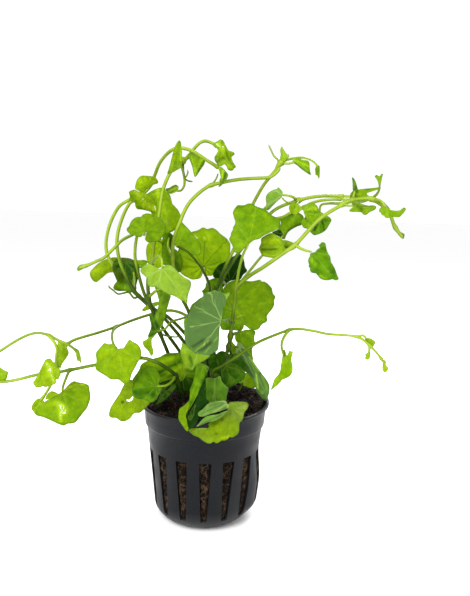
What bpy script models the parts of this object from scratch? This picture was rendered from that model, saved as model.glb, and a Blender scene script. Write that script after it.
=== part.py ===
"""Potted Japanese cress: a slotted net pot, a plug of growing medium, and the plant.

Every stem and every leaf is a solid of its own. The stems carry their thinnest twigs and
their youngest leaves with them. Metres, +Z up, the origin is at the centre of the pot's
underside, and the side that the photograph shows faces -Y.
"""
import math

import bmesh
import bpy
import numpy as np
from mathutils import Vector

MM = 0.001
NAME = "potted_japanese_cress"
GAP = 0.3 * MM
FOOT_GAP = 0.5 * MM

# Net pot
LIP_RADIUS = 27.5 * MM
POT_HEIGHT = 50.0 * MM
LIP_THICKNESS = 1.2 * MM
COLLAR_RADIUS = 26.2 * MM
LEDGE_HEIGHT = 41.0 * MM
LEDGE_RADIUS = 24.8 * MM
BASE_RADIUS = 21.2 * MM
CORNER_RADIUS = 8.0 * MM
WALL = 1.2 * MM
RING_SEGMENTS = 30
CORNER_STEPS = 2
MEDIUM_SEGMENTS = 20
SLOT_COUNT = 15
SLOT_TURN = math.radians(1.0)
SLOT_TOP = 31.2 * MM
SLOT_BOTTOM = 2.6 * MM
SLOT_TOP_WIDTH = 5.0 * MM
SLOT_BOTTOM_WIDTH = 2.4 * MM
DRAIN_COUNT = 5
DRAIN_RADIUS = 1.6 * MM
DRAIN_CIRCLE = 8.0 * MM

# Growing medium
MEDIUM_TOP = 51.5 * MM
MEDIUM_EDGE = 47.0 * MM
MEDIUM_BULGE_POWER = 3.0
MOUND_STEPS = 3

# Plant
STEM_SIDES_STEP = 1
PETIOLE_RADIUS = 0.42 * MM
TWIG_RADIUS = 0.36 * MM
BLADE_THICKNESS = 0.6 * MM
BLADE_ROOT = 1.2 * MM
PETIOLE_SHORT = 0.3 * MM
BROAD_LEAF = 11.8
BROAD_GRID = (12, 2)
SMALL_GRID = (10, 1)
YOUNG_GRID = (6, 1)
STEM_STEPS = 0.75

# The view that the photograph was taken from, worked out from the pot's rings
PHOTO_SIZE = (470.0, 596.0)
FOCAL_LENGTH = 620.0
CAMERA_PLACE = Vector((0.0, -260.0, 130.0)) * MM
CAMERA_DOWN = math.radians(7.6)
CAMERA_RIGHTWARD = math.radians(2.5)
CAMERA_ROLL = math.radians(1.85)

# The photograph's rows between which the plant opens out in depth, and by how much
SPREAD_FROM = 400.0
SPREAD_FULL = 310.0
DEPTH_SPREAD = 0.7

PLASTIC = ("black_net_pot_plastic", (0.035, 0.037, 0.042), 0.38)
FIBRE = ("brown_fibre_plug", (0.055, 0.030, 0.018), 0.9)
STEM_GREEN = ("cress_stem", (0.250, 0.420, 0.040), 0.5)
LEAF_GREEN = ("cress_leaf", (0.190, 0.440, 0.020), 0.45)


# Sight lines

def view_axes():
    """Forward, right and up of the photograph's view."""
    forward = Vector((
        math.sin(CAMERA_RIGHTWARD) * math.cos(CAMERA_DOWN),
        math.cos(CAMERA_RIGHTWARD) * math.cos(CAMERA_DOWN),
        -math.sin(CAMERA_DOWN),
    ))
    level = Vector((math.cos(CAMERA_RIGHTWARD), -math.sin(CAMERA_RIGHTWARD), 0.0))
    upright = level.cross(forward)
    right = level * math.cos(CAMERA_ROLL) + upright * math.sin(CAMERA_ROLL)
    up = upright * math.cos(CAMERA_ROLL) - level * math.sin(CAMERA_ROLL)
    return forward, right, up


FORWARD, RIGHT, UP = view_axes()


def photo_point(across, down, depth):
    """The place that a pixel shows, depth in mm behind the pot's axis.

    The depths are those of a plant as slim as its pot. Above the lip they are spread,
    because the plant opens to the front and the back as it does to the sides.
    """
    height = min(max((SPREAD_FROM - down) / (SPREAD_FROM - SPREAD_FULL), 0.0), 1.0)
    depth = depth * (1.0 + DEPTH_SPREAD * height)
    ray = FORWARD
    ray = ray + RIGHT * ((across - PHOTO_SIZE[0] / 2) / FOCAL_LENGTH)
    ray = ray - UP * ((down - PHOTO_SIZE[1] / 2) / FOCAL_LENGTH)
    return CAMERA_PLACE + ray * ((depth * MM - CAMERA_PLACE.y) / ray.y)


def medium_height(x, y):
    """Height of the growing medium's mound at a place."""
    inner = LEDGE_RADIUS - WALL - GAP
    reach = min(math.hypot(x, y) / inner, 1.0)
    return MEDIUM_TOP - (MEDIUM_TOP - MEDIUM_EDGE) * reach ** MEDIUM_BULGE_POWER


def foot_point(x, y):
    """A place just above the growing medium, x and y in mm."""
    return Vector((x * MM, y * MM, medium_height(x * MM, y * MM) + FOOT_GAP))


# Smooth routes

def smooth_route(points, count):
    """Count points along a Catmull-Rom curve through the points, evenly spaced."""
    knots = [points[0] * 2 - points[1], *points, points[-1] * 2 - points[-2]]
    fine = []
    for a, b, c, d in zip(knots, knots[1:], knots[2:], knots[3:]):
        for step in range(8):
            t = step / 8
            fine.append(0.5 * (
                2 * b + (c - a) * t
                + (2 * a - 5 * b + 4 * c - d) * t ** 2
                + (3 * b - a - 3 * c + d) * t ** 3
            ))
    fine.append(points[-1].copy())
    run = np.array([tuple(point) for point in fine])
    lengths = np.concatenate([[0.0], np.cumsum(np.linalg.norm(np.diff(run, axis=0), axis=1))])
    marks = np.linspace(0.0, lengths[-1], count)
    return [Vector([np.interp(mark, lengths, run[:, axis]) for axis in range(3)]) for mark in marks]


def nearest_on(route, target):
    """The nearest place on a route to a sight line through a pixel, and the route's direction there."""
    ray = (photo_point(*target, 0.0) - CAMERA_PLACE).normalized()
    best = None
    for start, end in zip(route, route[1:]):
        for step in range(9):
            place = start.lerp(end, step / 8)
            away = place - CAMERA_PLACE
            miss = (away - ray * away.dot(ray)).length
            if best is None or miss < best[0]:
                best = (miss, place, (end - start).normalized())
    return best[1], best[2]


def side_start(route, radius, target, towards, own_radius):
    """Where a twig starts beside its stem, clear of the stem's skin."""
    place, along = nearest_on(route, target)
    away = towards - place
    sideways = (away - along * away.dot(along)).normalized()
    return place + sideways * (radius + own_radius + GAP)


# Solids

def new_object(name, mesh, material):
    thing = bpy.data.objects.new(name, mesh)
    thing.data.materials.append(material)
    bpy.data.collections[NAME].objects.link(thing)
    return thing


def make_material(name, colour, roughness):
    """A plain plastic, fibre or plant surface."""
    material = bpy.data.materials.new(name)
    material.use_nodes = True
    shader = material.node_tree.nodes["Principled BSDF"]
    shader.inputs["Base Color"].default_value = (*colour, 1.0)
    shader.inputs["Roughness"].default_value = roughness
    shader.inputs["Metallic"].default_value = 0.0
    return material


def turned(name, profile, segments, material):
    """A solid of revolution, from a profile of (radius, height) that runs down its outer side."""
    mesh = bpy.data.meshes.new(name)
    count = len(profile)
    facing = SLOT_TURN - math.radians(90 - 180 / RING_SEGMENTS)
    places = [(r * math.cos(facing), r * math.sin(facing), z) for r, z in profile]
    mesh.from_pydata(places, [(i, i + 1) for i in range(count - 1)], [])
    thing = new_object(name, mesh, material)
    screw = thing.modifiers.new("turn", "SCREW")
    screw.steps = segments
    screw.render_steps = segments
    screw.use_merge_vertices = True
    screw.merge_threshold = 0.00001
    return thing


def tube(points, start_radius, end_radius, sides_step):
    """A tapering tube along the points, with closed ends, as a mesh."""
    curve = bpy.data.curves.new("route", "CURVE")
    curve.dimensions = "3D"
    curve.bevel_depth = 1.0
    curve.bevel_resolution = sides_step
    curve.use_fill_caps = True
    spline = curve.splines.new("POLY")
    spline.points.add(len(points) - 1)
    for index, point in enumerate(points):
        share = index / (len(points) - 1)
        spline.points[index].co = (*point, 1.0)
        spline.points[index].radius = start_radius + (end_radius - start_radius) * share
    holder = bpy.data.objects.new("route", curve)
    bpy.context.scene.collection.objects.link(holder)
    bpy.context.view_layer.update()
    mesh = bpy.data.meshes.new_from_object(holder.evaluated_get(bpy.context.evaluated_depsgraph_get()))
    bpy.data.objects.remove(holder)
    weld(mesh)
    return mesh


def weld(mesh):
    """Joins a mesh's loose caps to its sides."""
    shape = bmesh.new()
    shape.from_mesh(mesh)
    bmesh.ops.remove_doubles(shape, verts=shape.verts, dist=0.000002)
    bmesh.ops.recalc_face_normals(shape, faces=shape.faces)
    shape.to_mesh(mesh)
    shape.free()


def blade_outline(turns, leaf, ahead):
    """A cress leaf's margin about the point where its petiole joins, one place for each turn.

    The margin is made of quarter ellipses about a centre a quarter of the way to the tip.
    A side's taper widens it towards the tip, or towards the base if it is negative.
    Behind the petiole the margin is drawn in to a notch between two lobes.
    """
    centre = ahead * 0.25
    on_left = turns < 0
    half_width = np.where(on_left, leaf["left"], leaf["right"]) * MM
    lobe = np.where(on_left, *leaf["lobes"]) * MM
    taper = np.where(on_left, *leaf["tapers"])
    notch = math.radians(leaf["notch"])
    reach = np.where(np.cos(turns) > 0, ahead - centre, centre + lobe)
    across = half_width * np.sin(turns) * (1.0 + taper * np.cos(turns))
    along = centre + reach * np.cos(turns)
    from_back = (math.pi - np.abs(turns)) / notch
    kept = 1.0 - np.exp(-(from_back ** 2))
    floor = BLADE_ROOT / np.maximum(np.hypot(across, along), BLADE_ROOT)
    kept = np.maximum(kept, floor)
    return across * kept, along * kept


def bend_blade(across, along, ahead, fold, bend, cup):
    """Heights and places of a blade that is folded on its midrib, bent along it and cupped."""
    soft = np.abs(across) / (np.abs(across) + 0.6 * MM)
    angle = fold * soft
    height = np.abs(across) * np.sin(angle)
    across = across * np.cos(angle)
    height = height + cup * (across ** 2 + along ** 2) / ahead
    if abs(bend) > 1e-6:
        curl = bend / ahead
        turned_by = curl * along
        inward = 1.0 / curl - height
        along, height = inward * np.sin(turned_by), 1.0 / curl - inward * np.cos(turned_by)
    return across, along, height


def blade_grid(leaf, rays, rings):
    """The points of a leaf's blade: its joint with the petiole, then ring after ring."""
    heart = photo_point(*leaf["heart"])
    tip = photo_point(*leaf["tip"])
    midrib = tip - heart
    fold, bend = math.radians(leaf["fold"]), math.radians(leaf["bend"])
    half = abs(bend) / 2
    ahead = midrib.length * (half / math.sin(half) if half > 1e-6 else 1.0)
    turns = np.arange(rays) / rays * math.tau - math.pi
    edge_across, edge_along = blade_outline(turns, leaf, ahead)
    shares = np.arange(1, rings + 1)[:, None] / rings
    across = np.concatenate([[0.0], (shares * edge_across).ravel()])
    along = np.concatenate([[0.0], (shares * edge_along).ravel()])
    across, along, height = bend_blade(across, along, ahead, fold, bend, leaf["cup"])
    # the chord from the joint to the tip lies on the midrib's sight line
    _, tip_along, tip_height = bend_blade(np.zeros(1), np.array([ahead]), ahead, fold, bend, leaf["cup"])
    lean = math.atan2(tip_height[0], tip_along[0])
    along, height = (
        along * math.cos(lean) + height * math.sin(lean),
        height * math.cos(lean) - along * math.sin(lean),
    )
    forward = midrib.normalized()
    to_camera = (CAMERA_PLACE - heart).normalized()
    normal = (to_camera - forward * to_camera.dot(forward)).normalized()
    rightward = forward.cross(normal)
    turn = math.radians(leaf["turn"])
    rightward, normal = (
        rightward * math.cos(turn) - normal * math.sin(turn),
        normal * math.cos(turn) + rightward * math.sin(turn),
    )
    frame = np.array([tuple(rightward), tuple(forward), tuple(normal)])
    return np.array(tuple(heart)) + np.stack([across, along, height], axis=1) @ frame


def blade_mesh(leaf, rays, rings):
    """A leaf's blade as a closed thin solid."""
    points = blade_grid(leaf, rays, rings)
    ring = np.arange(rays)
    following = (ring + 1) % rays
    faces = [(0, 1 + b, 1 + a) for a, b in zip(ring, following)]
    for inner in range(rings - 1):
        base = 1 + inner * rays
        faces += [
            (base + a, base + b, base + rays + b, base + rays + a)
            for a, b in zip(ring, following)
        ]
    mesh = bpy.data.meshes.new("blade")
    mesh.from_pydata(points.tolist(), [], [tuple(int(i) for i in face) for face in faces])
    sheet = bpy.data.objects.new("blade", mesh)
    bpy.context.scene.collection.objects.link(sheet)
    shell = sheet.modifiers.new("thickness", "SOLIDIFY")
    shell.thickness = BLADE_THICKNESS
    shell.offset = 0.0
    bpy.context.view_layer.update()
    solid = bpy.data.meshes.new_from_object(sheet.evaluated_get(bpy.context.evaluated_depsgraph_get()))
    bpy.data.objects.remove(sheet)
    weld(solid)
    return solid


def petiole_mesh(leaf, start, radius):
    """A leaf's petiole, which ends inside the root of the blade."""
    heart = photo_point(*leaf["heart"])
    stops = [start, *(photo_point(*stop) for stop in leaf["petiole"])]
    end = heart + (stops[-1] - heart).normalized() * PETIOLE_SHORT
    points = [*stops, end]
    if len(points) == 2:
        points.insert(1, start.lerp(end, 0.5))
    return tube(smooth_route(points, len(points)), radius * 1.15, radius * 0.9, 0)


def joined(name, meshes, material):
    """Several overlapping closed meshes as one solid."""
    whole = new_object(name, meshes[0], material)
    for index, mesh in enumerate(meshes[1:]):
        piece = bpy.data.objects.new(f"{name}_piece_{index}", mesh)
        bpy.data.collections["cutters"].objects.link(piece)
        piece.hide_render = True
        piece.display_type = "WIRE"
        union = whole.modifiers.new(f"join_{index}", "BOOLEAN")
        union.operation = "UNION"
        union.object = piece
        union.solver = "EXACT"
    bpy.context.view_layer.update()
    final = bpy.data.meshes.new_from_object(whole.evaluated_get(bpy.context.evaluated_depsgraph_get()))
    for piece in [union.object for union in whole.modifiers]:
        bpy.data.objects.remove(piece)
    whole.modifiers.clear()
    whole.data = final
    for polygon in final.polygons:
        polygon.material_index = 0
    final.shade_smooth()
    final.set_sharp_from_angle(angle=math.radians(40))
    return whole


# What the plant is made of. A route's points are (across, down) in the photograph and the depth.

STEMS = {}
LEAVES = {}


def stem(name, route, foot=None, on=None, thick=1.4, thin=1.0):
    """Notes a stem, which starts on the medium at foot or beside the stem that on names."""
    STEMS[name] = {"route": route, "foot": foot, "on": on, "radii": (thick / 2 * MM, thin / 2 * MM), "extras": []}


def leaf(name, on, at, heart, tip, left, right, lobes=(2.0, 2.0), petiole=(), turn=0.0, fold=0.0,
         bend=0.0, cup=0.0, notch=30.0, tapers=(0.0, 0.0)):
    """Notes a leaf: where it starts, its joint, its tip, and its half widths and lobes in mm."""
    LEAVES[name] = {
        "on": on, "at": at, "heart": heart, "tip": tip, "left": left, "right": right, "lobes": lobes,
        "petiole": petiole, "turn": turn, "fold": fold, "bend": bend, "cup": cup, "notch": notch,
        "tapers": tapers,
    }


def young_leaf(stem_name, *placing, **shape):
    """Notes a small leaf that is one piece with its stem."""
    leaf("young", stem_name, *placing, **shape)
    STEMS[stem_name]["extras"].append(LEAVES.pop("young"))


def twig(stem_name, at, route, thick=0.7):
    """Notes a twig that is one piece with its stem."""
    STEMS[stem_name]["extras"].append({"at": at, "route": route, "radius": thick / 2 * MM})


def describe_stems():
    stem("stem_outer_left", [
        (201, 358, 12), (187, 336, 9.5), (168, 317, 7), (157, 311, 6), (148, 305, 5), (134, 292, 6),
        (122, 279, 8), (111, 263, 11), (106, 247, 12), (109, 227, 11), (118, 208, 9), (129, 200, 6),
        (140, 195, 4), (148, 189, 2), (154, 177, 1), (161, 161, -3), (174, 149, -8), (190, 150, -9.5),
        (208, 161, -8), (219, 168, -6)], foot=(1.5, 14))
    stem("stem_second_left", [
        (196, 362, 4.5), (184, 342, 3), (165, 319, 2), (150, 305, 1), (137, 294, 0), (128, 280, -1),
        (119.5, 260, -2), (117, 240, -2), (121.5, 220, 0), (130, 203, 2), (139, 200, 1)], foot=(-0.5, 7.5))
    stem("stem_third_left", [
        (190, 372, 0), (180, 352, -1), (162, 327, -2), (151, 308, -3), (144, 293, -3), (138, 272, -2),
        (135, 255, 0), (137, 236, 2), (142, 226, 3)], foot=(-4.5, 6), thin=0.9)
    stem("stem_tall_left", [
        (176, 375, -4), (168, 353, -5), (160, 333, -5.5), (153, 312, -6.5), (149, 298, -7),
        (148, 280, -8), (152, 262, -8), (154, 242, -8), (159, 215, -8), (163, 190, -7), (170, 173, -7),
        (176, 166, -6), (182, 161, -5), (188, 157, -4), (193, 150, -2.5), (199, 143.5, -2),
        (205, 141, -2), (212, 143, -2), (218, 147, -3)], foot=(-10, 0), thin=0.9)
    stem("shoot_far_left", [
        (124, 239, -3), (117, 245, -5), (105, 257, -6), (97, 261, -6), (88, 265, -6), (79, 268, -6)],
        on=("stem_third_left", (138, 232)), thick=1.0, thin=1.0)
    stem("stem_centre_arch", [
        (200, 345, 5), (193, 322, 2), (187, 308, 0), (182, 298, -2), (176, 282, -5), (173, 262, -6),
        (173, 245, -7), (176, 232, -8.5), (180, 222, -9), (184, 212, -8.5), (190, 202, -8),
        (199, 193, -7), (209, 186, -6), (220, 183, -5.5), (235, 180, -5), (250, 178.5, -4.5),
        (262, 178, -4.5), (270, 177, -5), (277, 172, -5), (280, 167, -5)], foot=(-0.5, 10.5))
    stem("stem_centre_upright", [
        (208, 345, 12), (210, 320, 7), (215, 290, 2.5), (218, 285, 2), (226, 265, -0.5),
        (232, 253, -0.5), (238, 240, 0.5), (246, 221, 2), (253, 204, 3), (263, 186, 1), (270, 177, -1),
        (275, 171, -1.5), (279, 165, -2), (284, 160, -2)], foot=(4, 17))
    stem("stem_right_upper", [
        (213, 345, 12), (212, 315, 9), (217, 290, 8), (223, 278, 7), (232, 263, 7), (240, 251, 7),
        (247, 243, 7), (258, 227, 6), (271, 213, 3), (280, 207, 2), (290, 203, 1), (300, 200, 0),
        (310, 197.5, -1), (322, 196, -2), (335, 196, -3), (345, 196, -4)], foot=(7, 14))
    stem("stem_right_middle", [
        (274, 219, 1), (283, 217, -1), (290, 213, -2), (302, 208, -3), (313, 202.5, -5),
        (325, 200, -6), (343, 199, -7)], on=("stem_right_upper", (263, 221)), thick=1.1, thin=0.9)
    stem("stem_right_lower", [
        (222, 370, 2), (229, 345, 0), (232, 322, -1.5), (235, 300, -3), (237, 287, -4),
        (250, 275.5, -6), (262, 268, -8), (275, 259, -9), (285, 252, -9.5), (294, 246, -10),
        (300, 240, -10.5), (308, 231, -11), (318, 220.5, -11), (328, 213, -10.5), (340, 206, -10),
        (350, 201, -10.5), (360, 199, -11), (372, 199, -12), (380, 204, -13), (386, 209, -13.5),
        (391, 217, -14), (395, 227, -14.5), (403, 238, -15)], foot=(6.5, 6), thick=1.7)
    stem("runner_right", [
        (212, 374, -8), (222, 366, -8), (239, 355, -8), (255, 344, -9), (270, 337, -11),
        (289, 330, -14), (300, 329, -16), (314, 331, -18), (328, 334, -20), (343, 335, -22),
        (358, 337, -24), (368, 344, -25.5), (376, 352, -27), (383, 361, -28)],
        foot=(3, -4), thick=1.3, thin=0.8)
    stem("runner_left_upper", [
        (187, 316, 3), (180, 312.5, 6), (171, 310.5, 8.5), (162, 311.5, 10), (150, 314.5, 9.5),
        (133, 320, 6), (115, 327, 1), (97, 333, -5), (83, 337, -9), (72, 341, -12), (64, 348, -15),
        (57, 360, -17.5), (54, 372, -19), (51, 384, -20), (46, 393, -21), (41, 400, -22)],
        on=("stem_centre_arch", (191, 318)), thick=1.2, thin=0.9)
    stem("runner_left_lower", [
        (180, 386, -12), (175, 375, -14.5), (166, 367.5, -17.5), (155, 361.5, -20), (141, 358, -19),
        (120, 361, -16.5), (95, 365, -15), (70, 370, -14.5), (52, 373, -14), (36, 375, -14),
        (20, 379, -14), (6, 381.5, -14), (-6, 381, -13), (-16, 375, -11), (-18.5, 366, -10),
        (-12, 357.5, -10), (0, 351, -11), (15, 341.5, -13), (28, 335, -16), (38, 333, -19),
        (48, 335, -22), (58, 340, -24), (67, 344, -25), (73, 348, -25), (77.5, 352, -25),
        (79, 357, -25), (80.5, 362, -25)], foot=(-8, -6), thick=1.3, thin=0.8)


def describe_young_leaves():
    young_leaf("stem_outer_left", (218, 168), (220, 170, -6.5), (221, 186, -7), 3.0, 0.8,
               lobes=(1.0, 0.6), fold=20, notch=24)
    young_leaf("stem_tall_left", (180, 163), (175, 193, -6), (167, 189, -6), 1.0, 2.4, lobes=(0.8, 1.2),
               petiole=[(183.5, 173, -6), (184.5, 184, -6), (181, 191, -6)], notch=24)
    twig("stem_tall_left", (184, 161), [(187, 169, -7.5), (187, 177, -7)])
    young_leaf("stem_centre_arch", (188, 317), (151, 335, -9.5), (152, 356, -10.5), 1.0, 2.8,
               lobes=(0.8, 1.2), petiole=[(180, 319, -7), (171, 322, -8), (165, 329, -8.5), (157, 332, -8.5)],
               tapers=(0.0, -0.4), notch=24)
    twig("stem_centre_arch", (212, 185), [(216, 179, -5), (218.3, 173, -4)])
    young_leaf("stem_centre_upright", (281, 163), (283, 157.5, -2.6), (282, 147, -1.6), 1.4, 1.8,
               lobes=(0.8, 0.8), fold=20, notch=24, tapers=(-0.3, -0.3))
    young_leaf("stem_centre_upright", (282, 162.5), (296, 162, -4), (309, 173, -6), 3.4, 1.0,
               lobes=(1.4, 0.6), petiole=[(289, 163.5, -3)], notch=24, tapers=(-0.2, 0.0))
    young_leaf("stem_centre_upright", (283, 161), (317.5, 166, 1), (319, 177, 1), 0.8, 1.4,
               lobes=(0.5, 0.6), petiole=[(290, 159, -0.5), (301, 157.5, 0.5), (310, 159.5, 1)], notch=24)
    twig("stem_centre_upright", (279, 165), [(278, 160, -1), (273, 155, 0), (269, 145, 0)], 0.9)
    young_leaf("stem_right_upper", (299, 200), (297, 203, -3.5), (293, 213, -5.5), 2.4, 1.6,
               lobes=(1.0, 1.0), fold=25, notch=24)
    young_leaf("stem_right_lower", (353, 200), (354, 193, -9.5), (352, 178.5, -9), 1.0, 1.6,
               lobes=(0.6, 0.8), notch=24, tapers=(-0.4, -0.4))
    young_leaf("stem_right_lower", (353, 200), (357, 195, -9.5), (380, 189, -8), 1.4, 1.7,
               lobes=(0.8, 0.9), notch=24, tapers=(-0.3, -0.5))
    young_leaf("stem_right_lower", (343, 204), (354, 206, -13), (374, 207.5, -14), 0.8, 3.2,
               lobes=(0.5, 1.6), petiole=[(348, 205.5, -12)], notch=24)
    young_leaf("stem_right_lower", (372, 199), (380, 184, -13), (379, 175, -13), 1.8, 1.6,
               lobes=(0.4, 0.4), petiole=[(377, 194, -12.5)], notch=24, tapers=(0.4, 0.4))
    young_leaf("stem_right_lower", (229, 346), (237, 355, 3), (232, 341, 3), 1.6, 2.6,
               lobes=(0.8, 1.0), petiole=[(233, 352, 3)], notch=24)
    young_leaf("runner_right", (358, 336.5), (366.5, 339, -24.5), (375, 344, -25), 1.6, 1.8,
               lobes=(0.8, 0.8), petiole=[(362, 335.5, -24)], notch=24)
    young_leaf("runner_right", (369, 345), (370.5, 351, -27), (367, 359, -28), 0.7, 1.7,
               lobes=(0.4, 0.8), notch=24)
    young_leaf("runner_right", (382, 360), (383.5, 363, -28.3), (386, 372, -28.5), 1.3, 0.8,
               lobes=(0.5, 0.5), notch=24)
    young_leaf("runner_left_upper", (67, 344), (62.5, 344, -18.5), (59, 367, -22), 2.4, 2.2,
               lobes=(0.9, 0.9), fold=-20, notch=24)
    young_leaf("runner_left_upper", (42, 399), (40, 401, -22.3), (34, 413, -22.5), 1.3, 1.9,
               lobes=(0.6, 0.6), fold=20, notch=24)
    young_leaf("runner_left_lower", (176, 376), (164, 388, -12.5), (157, 404, -13.5), 1.1, 1.2,
               lobes=(0.6, 0.6), petiole=[(170, 383, -12.5)], notch=24)
    young_leaf("runner_left_lower", (-17, 372), (-9, 371, -12), (7, 374, -12), 2.9, 2.4,
               lobes=(1.4, 1.2), notch=24)


def describe_upper_leaves():
    leaf("leaf_crest", "stem_outer_left", (151, 184), (148, 186, -3), (140, 176.5, -4), 5.4, 5.0,
         lobes=(1.2, 3.2), fold=-28, bend=-20)
    leaf("leaf_below_crest", "stem_second_left", (138, 200), (146, 198, -5), (129, 196, -7), 5.0, 2.6,
         lobes=(3.6, 1.0), fold=-20, cup=0.1)
    leaf("leaf_left_hanging", "stem_second_left", (139, 200), (160, 191, -3.5), (172, 236, -2), 6.2, 6.0,
         lobes=(1.6, 2.6), petiole=[(150, 196, 0)], fold=-10, bend=-14, tapers=(0.3, 0.1))
    leaf("leaf_left_wide", "stem_third_left", (141, 227), (144.5, 231, -14), (149, 212, -11), 6.4, 8.2,
         lobes=(4.0, 5.0), petiole=[(144, 235, -5)], notch=34, fold=-8, tapers=(-0.4, 0.0))
    leaf("leaf_left_inner", "stem_tall_left", (154, 240), (163, 246, 4), (152, 268, 4), 4.4, 5.0,
         lobes=(1.6, 1.6), petiole=[(161, 242, -1)])
    leaf("leaf_hooked", "stem_tall_left", (152.5, 264), (162, 269, -15.5), (188, 301, -16.5), 5.2, 7.0,
         lobes=(1.6, 7.5), petiole=[(155, 258, -11), (159, 256, -13.5), (162, 261, -15.5)], notch=24,
         fold=-6, tapers=(0.15, -0.4))
    leaf("leaf_narrow_hanging", "stem_tall_left", (149, 297), (165, 288, -10), (152, 338, -12), 3.4, 2.9,
         lobes=(0.5, 0.5), turn=35, petiole=[(156, 291, -9)], bend=-24, fold=-12)
    leaf("leaf_far_left", "stem_outer_left", (124, 281), (118, 264, 13.5), (93, 279, 11), 1.2, 4.6,
         lobes=(0.8, 1.2), petiole=[(122, 272, 13)], fold=-14, bend=-16)
    leaf("leaf_left_shaded", "stem_second_left", (133, 288), (126, 262, 6), (124, 292, 4.5), 4.6, 5.2,
         lobes=(1.4, 1.4), petiole=[(134, 274, 5), (130, 262, 6.5)], fold=14)
    leaf("leaf_top_folded", "stem_tall_left", (181, 162), (177, 166, -10), (180, 141, -13), 3.1, 1.6,
         lobes=(4.0, 1.0), turn=10, fold=20, tapers=(-0.6, -0.2))
    leaf("leaf_top_triangle", "stem_tall_left", (188, 157), (191, 154.5, -6), (194.5, 177, -7), 5.0, 1.0,
         lobes=(0.6, 0.4), turn=-8, fold=12, tapers=(-0.35, 0.0))
    leaf("leaf_top_crumpled", "stem_tall_left", (216, 146), (220, 147, -6), (232, 169, -8), 3.6, 3.4,
         lobes=(2.2, 1.6), fold=-14, cup=-0.1, tapers=(0.2, 0.1))
    leaf("leaf_centre_sunlit", "stem_centre_upright", (214, 295), (203, 267, 1.5), (206, 228, 7), 9.6, 11.0,
         lobes=(7.0, 4.0), petiole=[(209, 285, 0.5)], notch=22, cup=-0.04, turn=6)
    leaf("leaf_centre_upper", None, (2.5, 2.5), (177, 246.5, -5), (198, 236, -4), 8.4, 4.2,
         lobes=(1.6, 1.0), petiole=[(206, 340, -1), (210, 291, -3), (203, 271, -5), (197, 262, -6),
                                    (191, 255, -6), (184, 249.5, -6)], fold=-8)
    leaf("leaf_left_scrap", "stem_centre_arch", (173, 258), (169, 237, 1), (177, 271, 0), 3.6, 3.2,
         lobes=(1.4, 1.4), petiole=[(168, 247, -1)], fold=16)
    leaf("leaf_upper_light", "stem_right_upper", (298, 201), (282, 195, 0), (266, 208, 2), 1.4, 4.2,
         lobes=(0.8, 2.4), petiole=[(293, 197, -1), (288, 195.5, -1)], turn=10)
    leaf("leaf_right_broad", "stem_right_lower", (237, 287), (249, 243, -9), (256, 204, -4), 8.8, 11.8,
         lobes=(6.0, 1.0), petiole=[(239, 270, -6.5), (243, 255, -8.5)], notch=30, cup=-0.05)
    leaf("leaf_right_dark", "stem_right_lower", (240, 284), (284, 235, 5), (297, 213, 2), 6.4, 3.2,
         lobes=(2.4, 1.0), petiole=[(244, 278, -3.5), (252, 268, 0), (262, 256, 3), (275, 243, 5)],
         tapers=(0.0, 0.4))
    leaf("leaf_right_bright", "stem_right_middle", (303, 207.5), (305, 212, -7), (323, 217, -8), 4.2, 4.6,
         lobes=(1.6, 2.4), fold=-14)
    leaf("leaf_right_shaded", "stem_right_lower", (344, 204), (320, 218, 3), (318, 234, 3), 4.6, 3.6,
         lobes=(1.6, 1.4), petiole=[(337, 203.5, -7), (328, 203.5, -3), (320.5, 206, 1)])
    leaf("leaf_right_node", "stem_right_lower", (292, 247.5), (284, 246, -7), (261, 249, -5), 4.2, 4.4,
         lobes=(1.6, 1.4), fold=10, cup=-0.08)
    leaf("leaf_right_hanging", "stem_right_lower", (295, 246), (312, 252, -12), (335, 280, -14), 4.6, 4.6,
         lobes=(3.2, 1.4), petiole=[(303, 249.5, -11.5)], fold=-10, tapers=(-0.2, 0.1))
    leaf("leaf_far_right", "stem_right_lower", (374, 200), (386, 208, -17), (404, 210, -18), 1.0, 3.4,
         lobes=(0.8, 3.0), petiole=[(381, 201, -15)], bend=16)


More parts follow.
